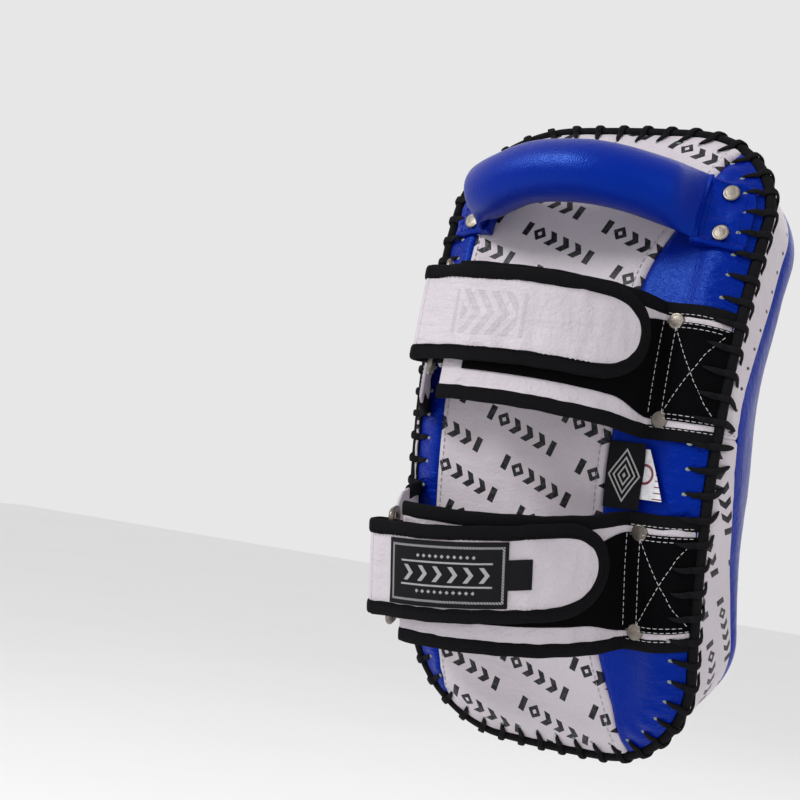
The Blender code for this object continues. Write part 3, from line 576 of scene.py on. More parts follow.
def leather(name, colour, shade, roughness, ink=None, creases=0.0006, pressed=None,
            shine=0.22, tint=(1.0, 1.0, 1.0), drawn=None):
    """Grained leather; ink and pressed give the masks of what is printed or pressed in, and pressed
    lines are also darkened as painted shade.
    """
    paint = Paint(name, roughness, specular_ior_level=shine, specular_tint=(*tint, 1.0))
    cloud = paint.noise(16, 4)
    pores = paint.cells(1050)
    skin = paint.blend(shade, colour, cloud * 1.6 - 0.3 + pores * 0.35)
    if ink:
        worn = paint.noise(420, 3) * 0.2 + 0.88
        skin = paint.blend(skin, (0.0035, 0.0035, 0.0050), ink(paint) * worn)
    if pressed:
        # painted shade: the pressed lines get a darker tone, as if shadowed in their recesses
        skin = paint.blend(skin, tuple(0.72 * c for c in shade), pressed(paint) * 0.35)
    paint.colour(skin)
    paint.roughness(paint.noise(230, 3) * 0.22 + (roughness - 0.11))
    wrinkles = paint.noise(75, 5, paint.stretched((1.0, 1.0, 0.35)))
    drag = paint.noise(150, 6, paint.stretched((0.35, 1.0, 1.0)))
    layers = [(wrinkles, creases * 2.2), (drag, creases * 1.6),
              (paint.noise(480, 2), creases * 0.50), (pores, 0.00012)]
    if drawn:
        pulled = paint.noise(330, 4, paint.stretched((0.22, 1.0, 1.0)))
        layers.append((pulled * drawn(paint), 0.0020))
    if pressed:
        layers.append((pressed(paint) * -1.0, 0.0016))
    paint.relief(*layers)
    return paint.material


PRINT_ROW = 0.0215
PRINT_PITCH = 0.0680
PRINT_SHIFT = 0.0226
GLYPH = 0.0092
GLYPH_HALF = 0.0045
STROKE = 0.0016


def printed_rows(slant, start=0.0, level=0.0):
    """Slanted rows of one plain motif: a bar, a hollow diamond, three chevrons and a bar."""
    def ink(paint):
        turn = math.radians(slant)
        a = paint.u * math.cos(turn) + paint.v * math.sin(turn) - start
        b = paint.v * math.cos(turn) - paint.u * math.sin(turn) - level
        row = (b / PRINT_ROW).floor()
        across = b - row * PRINT_ROW - PRINT_ROW / 2
        along = (a + row * PRINT_SHIFT).wrap(PRINT_PITCH)
        cell = (along / GLYPH).floor()
        x = along - cell * GLYPH - GLYPH / 2
        up = abs(across)
        bars = abs(x).under(STROKE * 1.3) * (cell.under(0.5).either(cell.over(4.5)))
        ring = abs(abs(x) + up - GLYPH_HALF * 0.72).under(STROKE)
        ring = ring * cell.over(0.5) * cell.under(1.5)
        point = abs(x + up * 0.75 - GLYPH_HALF * 0.45).under(STROKE * 1.4)
        point = point * cell.over(1.5) * cell.under(4.5)
        return bars.either(ring).either(point) * up.under(GLYPH_HALF) * cell.under(5.5)
    return ink


def small_marks(paint):
    """One line of small diamonds just below the seam of the upper side wall."""
    step = 0.0140
    x = paint.u.wrap(step) - step / 2
    return (abs(x) * 1.25 + abs(paint.v + 0.0062)).under(0.0018)


def tape_material(name, colour, ribs=7000.0, shine=0.10):
    """Woven tape: fine ribs across its run."""
    paint = Paint(name, 0.85, specular_ior_level=shine)
    rib = (paint.u * ribs).sine()
    thread = (paint.v * ribs * 1.3).sine()
    weave = rib * thread
    lint = paint.noise(260, 4)
    paint.colour(paint.blend(colour, tuple(2.2 * c + 0.004 for c in colour),
                             weave * 0.25 + lint * 0.5))
    paint.relief((paint.noise(60, 3), 0.0004), (weave, 0.00016), (lint, 0.00022))
    return paint.material


def pile(name, colour):
    """Hook-and-loop pile: matt, with a brushed nap."""
    paint = Paint(name, 0.97, specular_ior_level=0.03)
    loops = paint.cells(1500)
    nap = paint.noise(70, 5)
    lint = tuple(2.5 * c + 0.002 for c in colour)
    paint.colour(paint.blend(colour, lint, loops * 0.4 + nap * 0.3))
    paint.relief((nap, 0.0006), (loops, 0.0004))
    return paint.material


def nickel_material():
    paint = Paint("nickel_plate", 0.27, metallic=1.0)
    tarnish = paint.noise(330, 4)
    paint.colour(paint.blend((0.23, 0.205, 0.18), (0.125, 0.105, 0.088), tarnish * 1.5 - 0.4))
    paint.roughness(paint.noise(900, 3) * 0.25 + 0.2)
    paint.relief((paint.noise(1400, 2), 0.00005))
    return paint.material


def label_material(name, ink, colour, thread):
    """Woven label: satin threads, with a design woven in lighter thread."""
    paint = Paint(name, 0.62, specular_ior_level=0.12)
    weave = (paint.u * 9000.0).sine() * (paint.v * 9000.0).sine()
    lint = paint.noise(500, 3)
    cloth = paint.blend(colour, tuple(1.8 * c + 0.001 for c in colour), lint)
    paint.colour(paint.blend(cloth, thread, ink(paint) * (lint * 0.4 + 0.75)))
    paint.relief((paint.noise(110, 2), 0.0003), (weave, 0.00010))
    return paint.material


def rope_border(paint, half_u, half_v, inset, width):
    """Twisted frame round a label, as slanted dashes between two rectangles."""
    gap = (abs(paint.u) - half_u).either(abs(paint.v) - half_v) * -1.0
    frame_line = gap.over(inset) * gap.under(inset + width)
    return frame_line * ((paint.u + paint.v) / 0.0017).wrap(1.0).under(0.62)


def big_label_ink(paint):
    """Rope frame, a row of chevrons between two lines, and a dotted line above and below."""
    border = rope_border(paint, 0.0345, 0.0176, 0.0016, 0.0013)
    between = abs(paint.u).under(0.0265)
    x = paint.u.wrap(0.0088) - 0.0044
    up = abs(paint.v)
    chevrons = abs(x + up * 0.75 - 0.0018).under(0.0013) * up.under(0.0044)
    lines = abs(up - 0.0066).under(0.0005)
    dots = abs(paint.u.wrap(0.0036) - 0.0018) + abs(up - 0.0100)
    short = abs(paint.u).under(0.0170)
    return border.either((chevrons.either(lines)) * between).either(dots.under(0.0011) * short)


def side_label_ink(paint):
    """Nested diamonds."""
    reach = abs(paint.u) * 1.5 + abs(paint.v)
    return reach.wrap(0.0046).under(0.0017) * reach.under(0.0160)


def care_tag_ink(paint):
    """A plain ring and a few thin lines."""
    ring = paint.math("POWER", (paint.u - 0.005) * (paint.u - 0.005)
                      + paint.v * paint.v, 0.5)
    lines = paint.v.wrap(0.0034).under(0.0007) * paint.u.over(0.0125)
    return abs(ring - 0.0052).under(0.0008).either(lines)


def face_badge(paint):
    """Oval outline round three nested chevrons, printed near the handle end of the face."""
    across = abs(paint.u)
    up = paint.v - 0.098
    reach = paint.math("POWER", paint.u * paint.u * 0.62 + up * up, 0.5)
    border = abs(reach - 0.052).under(0.0016).either(abs(reach - 0.057).under(0.0008))
    bands = (up + across * 0.8 + 0.030).wrap(0.020).under(0.0105)
    chevrons = bands * reach.under(0.046) * across.under(0.036)
    return border.either(chevrons)


def pressed_and_shaded_emblem(paint):
    """Nested chevrons between two bars, pressed into the strap leather and given painted shade in its
    colour.
    """
    along = paint.u - 0.084
    across = abs(paint.v)
    rows = (along + across * 0.7).wrap(0.0085).under(0.0040)
    field = rows * abs(along).under(0.0170) * across.under(0.0125)
    return field.either(abs(abs(along) - 0.0205).under(0.0010) * across.under(0.0125))


def beside_lacing(paint):
    """Grows from nothing to one over the last stretch before the laced edges."""
    return ((abs(paint.u) - 0.066) / 0.022).math("MINIMUM", 1.0).either(0.0)


def blank(paint):
    return paint.u.over(9.0)


BLUE = (0.0001, 0.0100, 0.225)
BLUE_GLOSS = (0.06, 0.26, 1.0)
BLUE_SHADE = (0.0001, 0.0068, 0.155)
WHITE = (0.525, 0.480, 0.518)
WHITE_SHADE = (0.44, 0.398, 0.435)
BLACK = (0.0022, 0.0022, 0.0030)

blue = partial(leather, colour=BLUE, shade=BLUE_SHADE, tint=BLUE_GLOSS)
white = partial(leather, colour=WHITE, shade=WHITE_SHADE, roughness=0.42)
twine = partial(tape_material, ribs=4000.0)
blue_leather = blue("blue_leather", roughness=0.36, creases=0.0003, shine=0.45)
drawn_leather = blue("blue_leather_drawn", roughness=0.36, creases=0.0003, shine=0.45,
                     drawn=beside_lacing)
sleeve_leather = blue("blue_leather_stretched", roughness=0.35, creases=0.00008, shine=0.62)
white_leather = white("white_leather", creases=0.0010)
printed_back = white("white_leather_printed", ink=printed_rows(-22))
printed_side = white("white_leather_side", ink=printed_rows(12, 0.0346, 0.0047))
marked_side = white("white_leather_marked", ink=small_marks)
badge_leather = blue("blue_leather_badge", roughness=0.33, ink=face_badge, creases=0.0003,
                     shine=0.45)
embossed_leather = white("white_leather_embossed", creases=0.0010, pressed=pressed_and_shaded_emblem)
plain_label = label_material("plain_label", blank, (0.003, 0.003, 0.004), (0.3, 0.3, 0.3))
black_tape = tape_material("black_tape", BLACK)
lace_cord = tape_material("lace_cord", BLACK, 5200.0, 0.13)
slit_edge = leather("slit_edge", (0.24, 0.28, 0.25), (0.12, 0.14, 0.13), 0.75)
loop_pile = pile("loop_pile", (0.0010, 0.0010, 0.0013))
nickel = nickel_material()
white_thread = twine("white_thread", (0.36, 0.35, 0.36))
grey_thread = twine("grey_thread", (0.20, 0.20, 0.23))
dark_thread = twine("dark_thread", (0.0004, 0.006, 0.10))
big_label = label_material("big_label", big_label_ink, (0.003, 0.003, 0.004),
                           (0.36, 0.355, 0.365))
small_label = label_material("small_label", side_label_ink, (0.002, 0.002, 0.003),
                             (0.40, 0.395, 0.40))
tag_cloth = label_material("tag_cloth", care_tag_ink, (0.52, 0.52, 0.54), (0.20, 0.03, 0.05))

FINISHES = {                # the frame's material slots, and the finishes that stand for each
    "blue_leather": (blue_leather, drawn_leather, sleeve_leather, badge_leather, dark_thread),
    "white_leather": (white_leather, printed_back, printed_side, marked_side, embossed_leather,
                      slit_edge, white_thread, grey_thread),
    "black_tape": (black_tape, lace_cord),
    "hook_and_loop": (loop_pile,),
    "nickel": (nickel,),
    "woven_label": (plain_label, big_label, small_label, tag_cloth),
}


# ---- the stuffed body ----
LACE_COUNT = 2 * round(outline_length() / LACE_PITCH)
LACE_STEP = 2 * outline_length() / LACE_COUNT


def lace_wave(walk):
    """-1 where a lace pulls the leather down and +1 half-way to the next one."""
    return math.cos(2 * math.pi * walk / LACE_STEP)


def ripple(x, y, z, scale, size):
    return size * noise.noise(Vector((x * scale, y * scale, z * scale)))


def near(distance, width):
    return math.exp(-(distance / width) ** 2)


def edge_fall(inset):
    """The back rounds off over the stuffing towards its laced edge."""
    return EDGE_DROP * (1.0 - ease((inset + EDGE_ROUND) / (2 * EDGE_ROUND))) * 2.0


def back_surface(x, s, lift=0.0):
    """Outer side of the back, waved between the lace slits and softly uneven."""
    walk, inset = edge_place(x, s)
    lift += EDGE_RIDGE * near(inset - 0.0215, 0.0095) - edge_fall(inset)
    wave = PUCKER * lace_wave(walk) * near(inset - 0.0115, 0.0065)
    fan = ripple(walk, inset * 0.3, 3.0, 420, 0.00030) * near(inset - 0.013, 0.010)
    uneven = ripple(x, s, 1.0, 28, 0.0007) * ease((inset - 0.006) / 0.02)
    return back_point(x, s, lift + wave + fan + uneven)


BACK_ROWS = 180


def back_rows(left, right, columns):
    half = PAD_LENGTH / 2 - CORD_RADIUS
    grid = []
    for i in range(BACK_ROWS + 1):
        s = -half * math.cos(math.pi * i / BACK_ROWS)
        limit = edge_half_width(s, CORD_RADIUS)
        start = max(-limit, left(s))
        end = min(limit, right(s))
        if end - start > 0.001:
            grid.append([(x, s) for x in spread(start, end, columns + 1)])
    return grid


def seam_profile(x, s):
    """Height of the leather next to the back's two seams."""
    left = x - SEAM_LEFT
    right = seam_right(s) - x
    sink = near(left, 0.0016) + near(right, 0.0009)
    fold = 0.0010 * ease((right + 0.0002) / 0.0008) * ease((0.0062 - right) / 0.0012)
    return fold - SEAM_DIP * sink


def panel_point(x, s, h):
    return back_surface(x, s, h + seam_profile(x, s))


def back_panels():
    for name, left, right, columns, finish in (
            ("left", lambda s: -1.0, lambda s: SEAM_LEFT, 8, drawn_leather),
            ("centre", lambda s: SEAM_LEFT, seam_right, 44, printed_back),
            ("right", seam_right, lambda s: 1.0, 22, drawn_leather)):
        panel = sheet(f"back_leather_{name}", back_rows(left, right, columns), panel_point,
                      -LEATHER, 0.0, finish)
        keep(panel, "pad", replaces=[f"back_panel_{name}"])


def seam_threads():
    half = PAD_LENGTH / 2 - 0.008
    for name, offset, line in (("left", 0.0032, lambda s: SEAM_LEFT),
                               ("right", -0.0049, seam_right)):
        run = []
        for s in spread(half, -half, 90):
            x = line(s) + offset
            if abs(x) < edge_half_width(s, 0.007):
                run.append((panel_point(x, s, 0.0002), Vector((0, -1, 0))))
        sew(f"back_seam_thread_{name}", run, grey_thread, pitch=0.0040, length=0.0028)


def wall_point(u, part, lift):
    """Side wall: pulled in by the laces at its edge and by its seam at the top."""
    inset, n = gusset_inset(u, part)
    x, s = outline(u)
    walk = abs(u) * outline_length()
    low = n - BACK_CROWN
    seam = seam_height(s) * (1.0 - part)
    wave = 0.8 * PUCKER * lace_wave(walk) * near(low - 0.009, 0.007)
    drag = ripple(walk * 1.0, low * 0.25, 7.0, 150, 0.0006) * near(low - 0.010, 0.016)
    dip = SEAM_DIP * near(seam, 0.0016)
    joint = SEAM_DIP * near(s - SEAM_S, 0.0015) if abs(x) > PAD_WIDTH / 2 - 0.01 else 0.0
    uneven = ripple(x, s, n, 30, 0.0007)
    tuck = flare(s) * part * (1.0 - ease((low - 0.0050) / 0.0070))
    return pad_point(u, inset - lift - wave - drag - uneven + dip + joint + tuck, n)


def side_u(s):
    flat_end = PAD_WIDTH / 2 - CORNER_RADIUS
    return (flat_end + math.pi / 2 * CORNER_RADIUS + PAD_LENGTH / 2 - CORNER_RADIUS - s
            ) / outline_length()


WALL_START = 0.0050         # the wall's leather begins this far below the edge


def side_walls():
    def grid(us):
        rows = []
        for u in us:
            _, s = outline(u)
            low = WALL_START / seam_height(s)
            rows.append([(u, low + (1.0 - low) * p) for p in spread(0.0, 1.0, 17)])
        return rows

    def mark(u, part):
        _, s = outline(u)
        return u * outline_length(), (part - 1.0) * seam_height(s)

    def point(u, part, h):
        return wall_point(wrapped(u), part, h)

    split = side_u(SEAM_S)
    for name, us, finish in (("upper", spread(-split, split, 190), marked_side),
                             ("lower", spread(split, 2.0 - split, 230), printed_side)):
        wall = sheet(f"side_leather_{name}", grid(us), point, -LEATHER, 0.0, finish, uv=mark)
        keep(wall, "pad", replaces=[f"gusset_{name}"])
    for name, side in (("left", -1), ("right", 1)):
        run = [(wall_point(side * side_u(SEAM_S + 0.0024), p, 0.0002), Vector((side, 0, 0)))
               for p in spread(0.25, 0.96, 12)]
        sew(f"side_seam_thread_{name}", run, grey_thread, pitch=0.0032, length=0.0022)


FACE_STEPS = 120            # from the top's middle to the bottom's middle
DOME_ANGLES = (0, 1.2, 3, 5.5, 8.5, 12, 16, 20, 25, 30, 35, 40, 45, 50, 55, 60, 65, 70, 74, 78,
               82, 85, 87.4, 89)


def face_point(u, angle):
    inset, n = shoulder(u, angle)
    x, s = outline(u)
    edge = math.hypot(inset + flare(s), n - BACK_CROWN - seam_height(s))
    dip = SEAM_DIP * near(edge, 0.0022)
    uneven = ripple(x * (1 - inset / 0.1), s * (1 - inset / 0.2), n, 17, 0.0012) * ease(edge / 0.03)
    return pad_point(u, inset + dip, n - dip * 0.3 + uneven)


def striking_face():
    """Blue dome, closed over the seam, with a plain printed badge near its handle end."""
    half = FACE_STEPS
    us = ([-(i + 0.5) / half for i in reversed(range(half))]
          + [(i + 0.5) / half for i in range(half)])
    bm = bmesh.new()
    bm.loops.layers.uv.verify()
    rings = []
    spots = {}
    for angle in degrees(DOME_ANGLES):
        ring = []
        for u in us:
            vert = bm.verts.new(face_point(u, angle))
            spots[vert] = inside(u, shoulder(u, angle)[0])
            ring.append(vert)
        rings.append(ring)
    count = len(us)
    last = rings[-1]
    quads = [(first[k], first[(k + 1) % count], second[(k + 1) % count], second[k])
             for first, second in zip(rings, rings[1:]) for k in range(count)]
    quads += [(last[half - 1 - i], last[half - 2 - i], last[half + 1 + i], last[half + i])
              for i in range(half - 1)]
    for quad in quads:
        set_uv(bm, bm.faces.new(quad), [spots[v] for v in quad])
    under = [bm.verts.new(v.co + (Vector((0, v.co.y, v.co.z)) - v.co) * 0.06)
             for v in rings[0]]
    for k in range(count):
        m = (k + 1) % count
        bm.faces.new((rings[0][m], rings[0][k], under[k], under[m]))
    bmesh.ops.triangle_fill(bm, edges=[bm.edges.get((under[k], under[(k + 1) % count]))
                                       for k in range(count)])
    dome = mesh_object("striking_leather", bm, badge_leather)
    keep(dome, "pad", replaces=["striking_panel", "foam_front", "foam_middle", "foam_back"],
         fill=0.85)


# ---- edge cord and its lacing ----
PATCH_COVER = 0.0030        # how far patches, their fabric and handle tabs raise the back
PILE_COVER = 0.0042
TAB_COVER = 0.0028


def cover(x, s):
    """How far the strap patches and handle tabs raise the back at a point."""
    for spec in STRAPS.values():
        z = s - spec["s"] - spec["z_anchor"]
        if abs(z) < STRAP_WIDTH / 2 + 0.001:
            return PILE_COVER if x > 0 and abs(z) < PILE_HALF_WIDTH else PATCH_COVER
    if abs(s - HANDLE_S) < TAB_WIDTH / 2 + 0.001 and abs(x) > HANDLE_HALF_SPAN:
        return TAB_COVER
    return 0.0


LACE_ON_BACK = ((LACE_REACH + 0.0004, -0.0006, -0.0012), (LACE_REACH - 0.0018, 0.0006, -0.0008),
                (LACE_REACH - 0.0040, 0.0010, -0.0003), (0.0055, 0.0012, 0.0))  # inset, lift, slip


def lace_path(u):
    """Centre line of one lace, from its slit on the back over the cord to the side wall."""
    x, s = outline(u)
    way = math.copysign(1.0, u)
    skew = 0.0072 * math.tanh((s - 0.004) / 0.02) * way
    if abs(x) < PAD_WIDTH / 2 - CORNER_RADIUS:
        skew = 0.0045
    part_low = gusset_inset(u, 0.0105 / seam_height(s))[0]
    part_high = gusset_inset(u, 0.0140 / seam_height(s))[0]
    steps = []
    for inset, lift, slip in LACE_ON_BACK:
        spot = inside(u, inset)
        depth = back_depth(*spot) + edge_fall(inset) - cover(*spot) - lift
        steps.append((u + slip * way / outline_length(), inset, depth))
    top = CORD_DEPTH - CORD_RADIUS
    rise = -0.4 * cover(x, s)
    for inset, n, slip in ((0.0034, top + 0.0002 + rise, 0.0), (0.0010, top - 0.0007, 0.0),
                           (-0.0018, top + 0.0001, 0.03), (-0.0034, CORD_DEPTH - 0.0018, 0.10),
                           (-0.0040, CORD_DEPTH + 0.0008, 0.22),
                           (-0.0030 + part_low * 0.4, CORD_DEPTH + 0.0038, 0.42),
                           (part_low - 0.0010, CORD_DEPTH + 0.0072, 0.68),
                           (part_high + 0.0006, CORD_DEPTH + 0.0108, 1.0)):
        steps.append((u + skew * slip / outline_length(), inset, n))
    return [pad_point(wrapped(v), inset, n) for v, inset, n in steps]


LACE_HALF_WIDTHS = (0.0003, 0.0008, 0.0013, 0.0017, 0.0020, 0.0021, 0.0021, 0.0021, 0.0021,
                    0.0018, 0.0012, 0.0003)
LACE_HALF_DEPTHS = (0.0004, 0.0007, 0.0008, 0.0009, 0.0008, 0.0008, 0.0008, 0.0008, 0.0009,
                    0.0009, 0.0008, 0.0004)


def smooth_line(points, times):
    """Catmull-Rom points, with times new ones for each old gap."""
    line = []
    for i in range(len(points) - 1):
        p0, p1, p2, p3 = (points[max(0, i - 1)], points[i], points[i + 1],
                          points[min(len(points) - 1, i + 2)])
        for k in range(times):
            t = k / times
            line.append(p1 + (p2 - p0) * (0.5 * t)
                        + (p0 * 2 - p1 * 5 + p2 * 4 - p3) * (0.5 * t * t)
                        + (p1 * 3 - p0 - p2 * 3 + p3) * (0.5 * t ** 3))
    return line + [points[-1]]


def lace_size(sizes, place_on):
    """Half width or depth of a lace part-way between two of its steps."""
    low = int(place_on)
    high = min(len(sizes) - 1, low + 1)
    return sizes[low] + (sizes[high] - sizes[low]) * (place_on - low)


def lace(number, u, side):
    path = smooth_line(lace_path(u), 2)
    loops = []
    for i, spot in enumerate(path):
        wide = lace_size(LACE_HALF_WIDTHS, i / 2)
        wide *= 1.0 + 0.12 * noise.noise(Vector((number * 3.1, i * 0.4, 0)))
        step = path[min(i + 1, len(path) - 1)] - path[max(i - 1, 0)]
        across = (side - step.normalized() * side.dot(step.normalized())).normalized()
        up = step.cross(across).normalized()
        loops.append(oval(spot, across, up, wide, lace_size(LACE_HALF_DEPTHS, i / 2), 10,
                          (0.7, 1.0), 0.5))
    return tube(f"lace_{number}", loops, lace_cord, sharp=80)


def slit(number, u, side):
    """Frayed rim of the slit that a lace goes through."""
    loops = []
    for part in spread(-1.0, 1.0, 7):
        x, s = inside(u, LACE_REACH - 0.0006 + 0.0016 * part)
        middle = back_surface(x, s, cover(x, s) - 0.0002)
        size = math.sqrt(max(0.02, 1.0 - part * part))
        loops.append(oval(middle, side, Vector((0, -1, 0)), 0.0012 * size, 0.0007 * size, 8))
    return tube(f"slit_{number}", loops, slit_edge, sharp=80)


def lacing():
    laces = []
    slits = []
    for k in range(LACE_COUNT):
        u = -1.0 + (k + 0.5) * 2 / LACE_COUNT
        ahead = pad_point(min(1.0, u + 0.004), 0.0, 0.0) - pad_point(max(-1.0, u - 0.004), 0.0, 0.0)
        side = ahead.normalized()
        laces.append(lace(k, u, side))
        if cover(*outline(u)) <= PATCH_COVER:
            slits.append(slit(k, u, side))
    keep(join("edge_lacing", laces), "pad")
    keep(join("lace_slits", slits), "pad")


def edge_cord():
    loops = []
    steps = LACE_COUNT * 6
    for i in range(steps):
        u = -1.0 + 2 * (i + 0.5) / steps
        squeeze = 1.0 - 0.09 * max(0.0, -lace_wave(abs(u) * outline_length())) ** 3
        squeeze += 0.04 * noise.noise(Vector((i * 0.25, 5.0, 0)))
        loops.append([pad_point(u, CORD_RADIUS * squeeze * math.cos(a),
                                CORD_DEPTH + CORD_RADIUS * squeeze * 0.92 * math.sin(a))
                      for a in turns(14)])
    cord = tube("edge_cord_woven", loops, lace_cord, closed=True)
    keep(cord, "pad", replaces=["edge_cord"])


# ---- straps ----
def surface_frame(s):
    """Base point on the back at s, and the ways along the pad and out of it."""
    angle = s / BEND_RADIUS
    along = Vector((0.0, math.sin(angle), math.cos(angle)))
    return bend(0.0, s, 0.0), along, Vector((0.0, -math.cos(angle), math.sin(angle)))


class Strap:
    """A strap's own plane: x across the pad, z along it and h off the back."""

    def __init__(self, key):
        self.spec = STRAPS[key]
        self.base, self.along, self.out = surface_frame(self.spec["s"])

    def world(self, x, z, h):
        return self.base + Vector((x, 0, 0)) + self.along * z + self.out * h


def nothing(d):
    return 0.0


class Ribbon:
    """A run of strap: d along it, z across it, h off its middle surface.

    centre gives its middle line's z and lying how firmly it follows the back's surface.
    """

    def __init__(self, strap, path, lying=nothing):
        self.strap = strap
        self.path = path
        self.centre = nothing
        self.lying = lying
        self.walked = walk_along(path)
        self.total = self.walked[-1]
        self.sides = []
        for i in range(len(path)):
            step = (path[min(i + 1, len(path) - 1)] - path[max(i - 1, 0)]).normalized()
            self.sides.append(Vector((step.y, -step.x)))

    def at(self, d, z, h=0.0):
        i, share = locate(self.walked, d)
        side = self.sides[i].lerp(self.sides[i + 1], share).normalized()
        spot = self.path[i].lerp(self.path[i + 1], share) + side * h
        z += self.centre(d)
        free = self.strap.world(spot.x, z, spot.y)
        weight = self.lying(d)
        if weight <= 0.0:
            return free
        s = self.strap.spec["s"] + z
        return free.lerp(back_surface(plain_x(spot.x, s), s, spot.y), weight)

    def normal(self, d, z, up=1.0):
        return (self.at(d, z, up * 0.001) - self.at(d, z, 0.0)).normalized()


def bezier(points, count):
    p0, p1, p2, p3 = (Vector(p) for p in points)
    path = []
    for t in spread(0.0, 1.0, count):
        r = 1.0 - t
        path.append(p0 * r ** 3 + p1 * 3 * r * r * t + p2 * 3 * r * t * t + p3 * t ** 3)
    return path


def band_path(spec):
    bar = Vector(spec["bar"])
    start = Vector((spec["fold_x"] - 0.0020, 0.0010))
    arrive = (Vector(spec["crest"]) - bar).normalized()
    return bezier((start, spec["rise"], spec["crest"], bar + arrive * 0.010), 61)


def ring_way(spec):
    return (Vector(spec["bar"]) - Vector(spec["crest"])).normalized()


def fold_arc(spec, first, last, count):
    way = ring_way(spec)
    side = Vector((way.y, -way.x))
    centre = Vector(spec["bar"]) + way * FOLD_REACH + side * (TONGUE_OFFSET + TAIL_OFFSET) / 2
    radius = (TONGUE_OFFSET - TAIL_OFFSET) / 2
    return [centre + (side * math.cos(a) + way * math.sin(a)) * radius
            for a in degrees(spread(first, last, count))]


def ring_bar(spec):
    bar = Vector(spec["bar"])
    return bar + (Vector((spec["root_x"], 0.0)) - bar).normalized() * RING_PITCH


def glide(start, end, first, last):
    """Sideways place of a ribbon that moves from first to last between two distances."""
    return lambda d: first + (last - first) * min(1.0, max(0.0, (d - start) / (end - start)))


def strap_sheet(name, ribbon, d_range, edges, low, high, finish, columns, step=0.0028,
                wave=0.0, centred=False):
    """Leather or fabric on a ribbon; wave is the height of its soft creases."""
    start, end = d_range
    rows = max(3, int((end - start) / step))
    middle = (start + end) / 2 if centred else 0.0
    grid = []
    for d in spread(start, end, rows):
        first, last = edges(d)
        grid.append([(d, z) for z in spread(first, last, columns + 1)])

    def point(d, z, h):
        crease = ripple(d, z * 0.45, 2.0, 130, wave) + ripple(d, z, 5.0, 45, wave)
        return ribbon.at(d, z, h + crease)

    return sheet(name, grid, point, low, high, finish, uv=lambda a, b: (a - middle, b))


def strap_tape(name, ribbon, line, half_depth=TAPE / 2, seed=0.0):
    """Binding tape, folded over a strap's edge; line is its middle as (d, z) points."""
    spots = [ribbon.at(d, z) for d, z in line]
    loops = []
    for i, (d, z) in enumerate(line):
        step = (spots[min(i + 1, len(spots) - 1)] - spots[max(i - 1, 0)]).normalized()
        up = ribbon.normal(d, z)
        up = (up - step * up.dot(step)).normalized()
        across = step.cross(up)
        wide = BINDING / 2 * (1.0 + 0.06 * noise.noise(Vector((i * 0.31, seed, 0))))
        drift = across * (0.0005 * noise.noise(Vector((i * 0.17, seed, 4))))
        loops.append(oval(spots[i] + drift, across, up, wide, half_depth, 14, (0.55, 0.75)))
    return tube(name, loops, black_tape, sharp=80)


def straight_line(start, end, z, step):
    return [(d, z) for d in spread(start, end, max(3, int((end - start) / step)))]


def anchor_ribbon(key):
    """Anchor patch and forearm band in one run, from the lacing to the band's free end."""
    strap = Strap(key)
    spec = strap.spec
    edge = (PAD_WIDTH / 2 - 0.0005) * (1.0 + TAPER * spec["s"] / (PAD_WIDTH / 2))
    bottom = STRAP_LIFT
    path = [Vector((x, bottom - 0.0032 * (1.0 - ease((edge - x) / 0.0075))))
            for x in spread(edge, spec["fold_x"] + 0.0035, 18)]
    turn = Vector((spec["fold_x"] + 0.0030, bottom + 0.0050))
    path += [turn + Vector((math.cos(a), math.sin(a))) * 0.0050
             for a in degrees((-105, -120, -135, -150, -165, -178))]
    path += [p for p in band_path(spec) if p.y > bottom + 0.0075]
    patch_length = edge - spec["fold_x"]
    ribbon = Ribbon(strap, path, lambda d: 1.0 - ease((d - patch_length + 0.004) / 0.034))
    ribbon.centre = glide(patch_length, ribbon.total, spec["z_anchor"], spec["z_band"])
    ribbon.fold = patch_length
    return ribbon


def forearm_strap(key):
    ribbon = anchor_ribbon(key)
    fold, end = ribbon.fold, ribbon.total
    fold_x = ribbon.strap.spec["fold_x"]
    begin = ribbon.strap.world(fold_x + 0.004, 0.0, 0.001)
    finish_at = ribbon.strap.world(fold_x - 0.001, 0.0, 0.014)
    crossing = ("pad", f"{key}_forearm_band", begin, finish_at)
    band = strap_sheet(f"{key}_band_leather", ribbon, (0.0, end),
                       lambda d: (-STRAP_INNER, STRAP_INNER), -PATCH / 2, PATCH / 2,
                       white_leather, 26, wave=0.0005)
    keep(band, blend=crossing, replaces=[f"{key}_band", f"{key}_anchor_patch"])
    for side, sign in SIDES:
        line = straight_line(0.0, end, sign * (STRAP_WIDTH - BINDING) / 2, 0.0025)
        tape = strap_tape(f"{key}_band_tape_{side}", ribbon, line, seed=sign * 3.0)
        keep(tape, blend=crossing, replaces=[f"{key}_band_binding_{side}",
                                             f"{key}_anchor_binding_{side}"])
    low = PATCH / 2 + 0.0001

    def loop_edges(d):
        wide = PILE_HALF_WIDTH - (PILE_HALF_WIDTH - LOOP_HALF_WIDTH) * ease((d - fold) / 0.03)
        return -wide, wide

    loops = strap_sheet(f"{key}_loop_pile", ribbon, (0.0004, end - 0.014), loop_edges, low,
                        low + FABRIC, loop_pile, 18, wave=0.0004)
    keep(loops, blend=crossing, replaces=[f"{key}_loop_fabric", f"{key}_anchor_fabric"])
    anchor_threads(key, ribbon)
    back, off = STRAP_RIVETS
    for side, sign in SIDES:
        cap = rivet(f"{key}_anchor_rivet_cap_{side}",
                    ribbon.at(fold - back, sign * off, TAPE / 2),
                    ribbon.normal(fold - 0.012, 0.0))
        keep(cap, "pad", replaces=[f"{key}_anchor_rivet_{side}"])


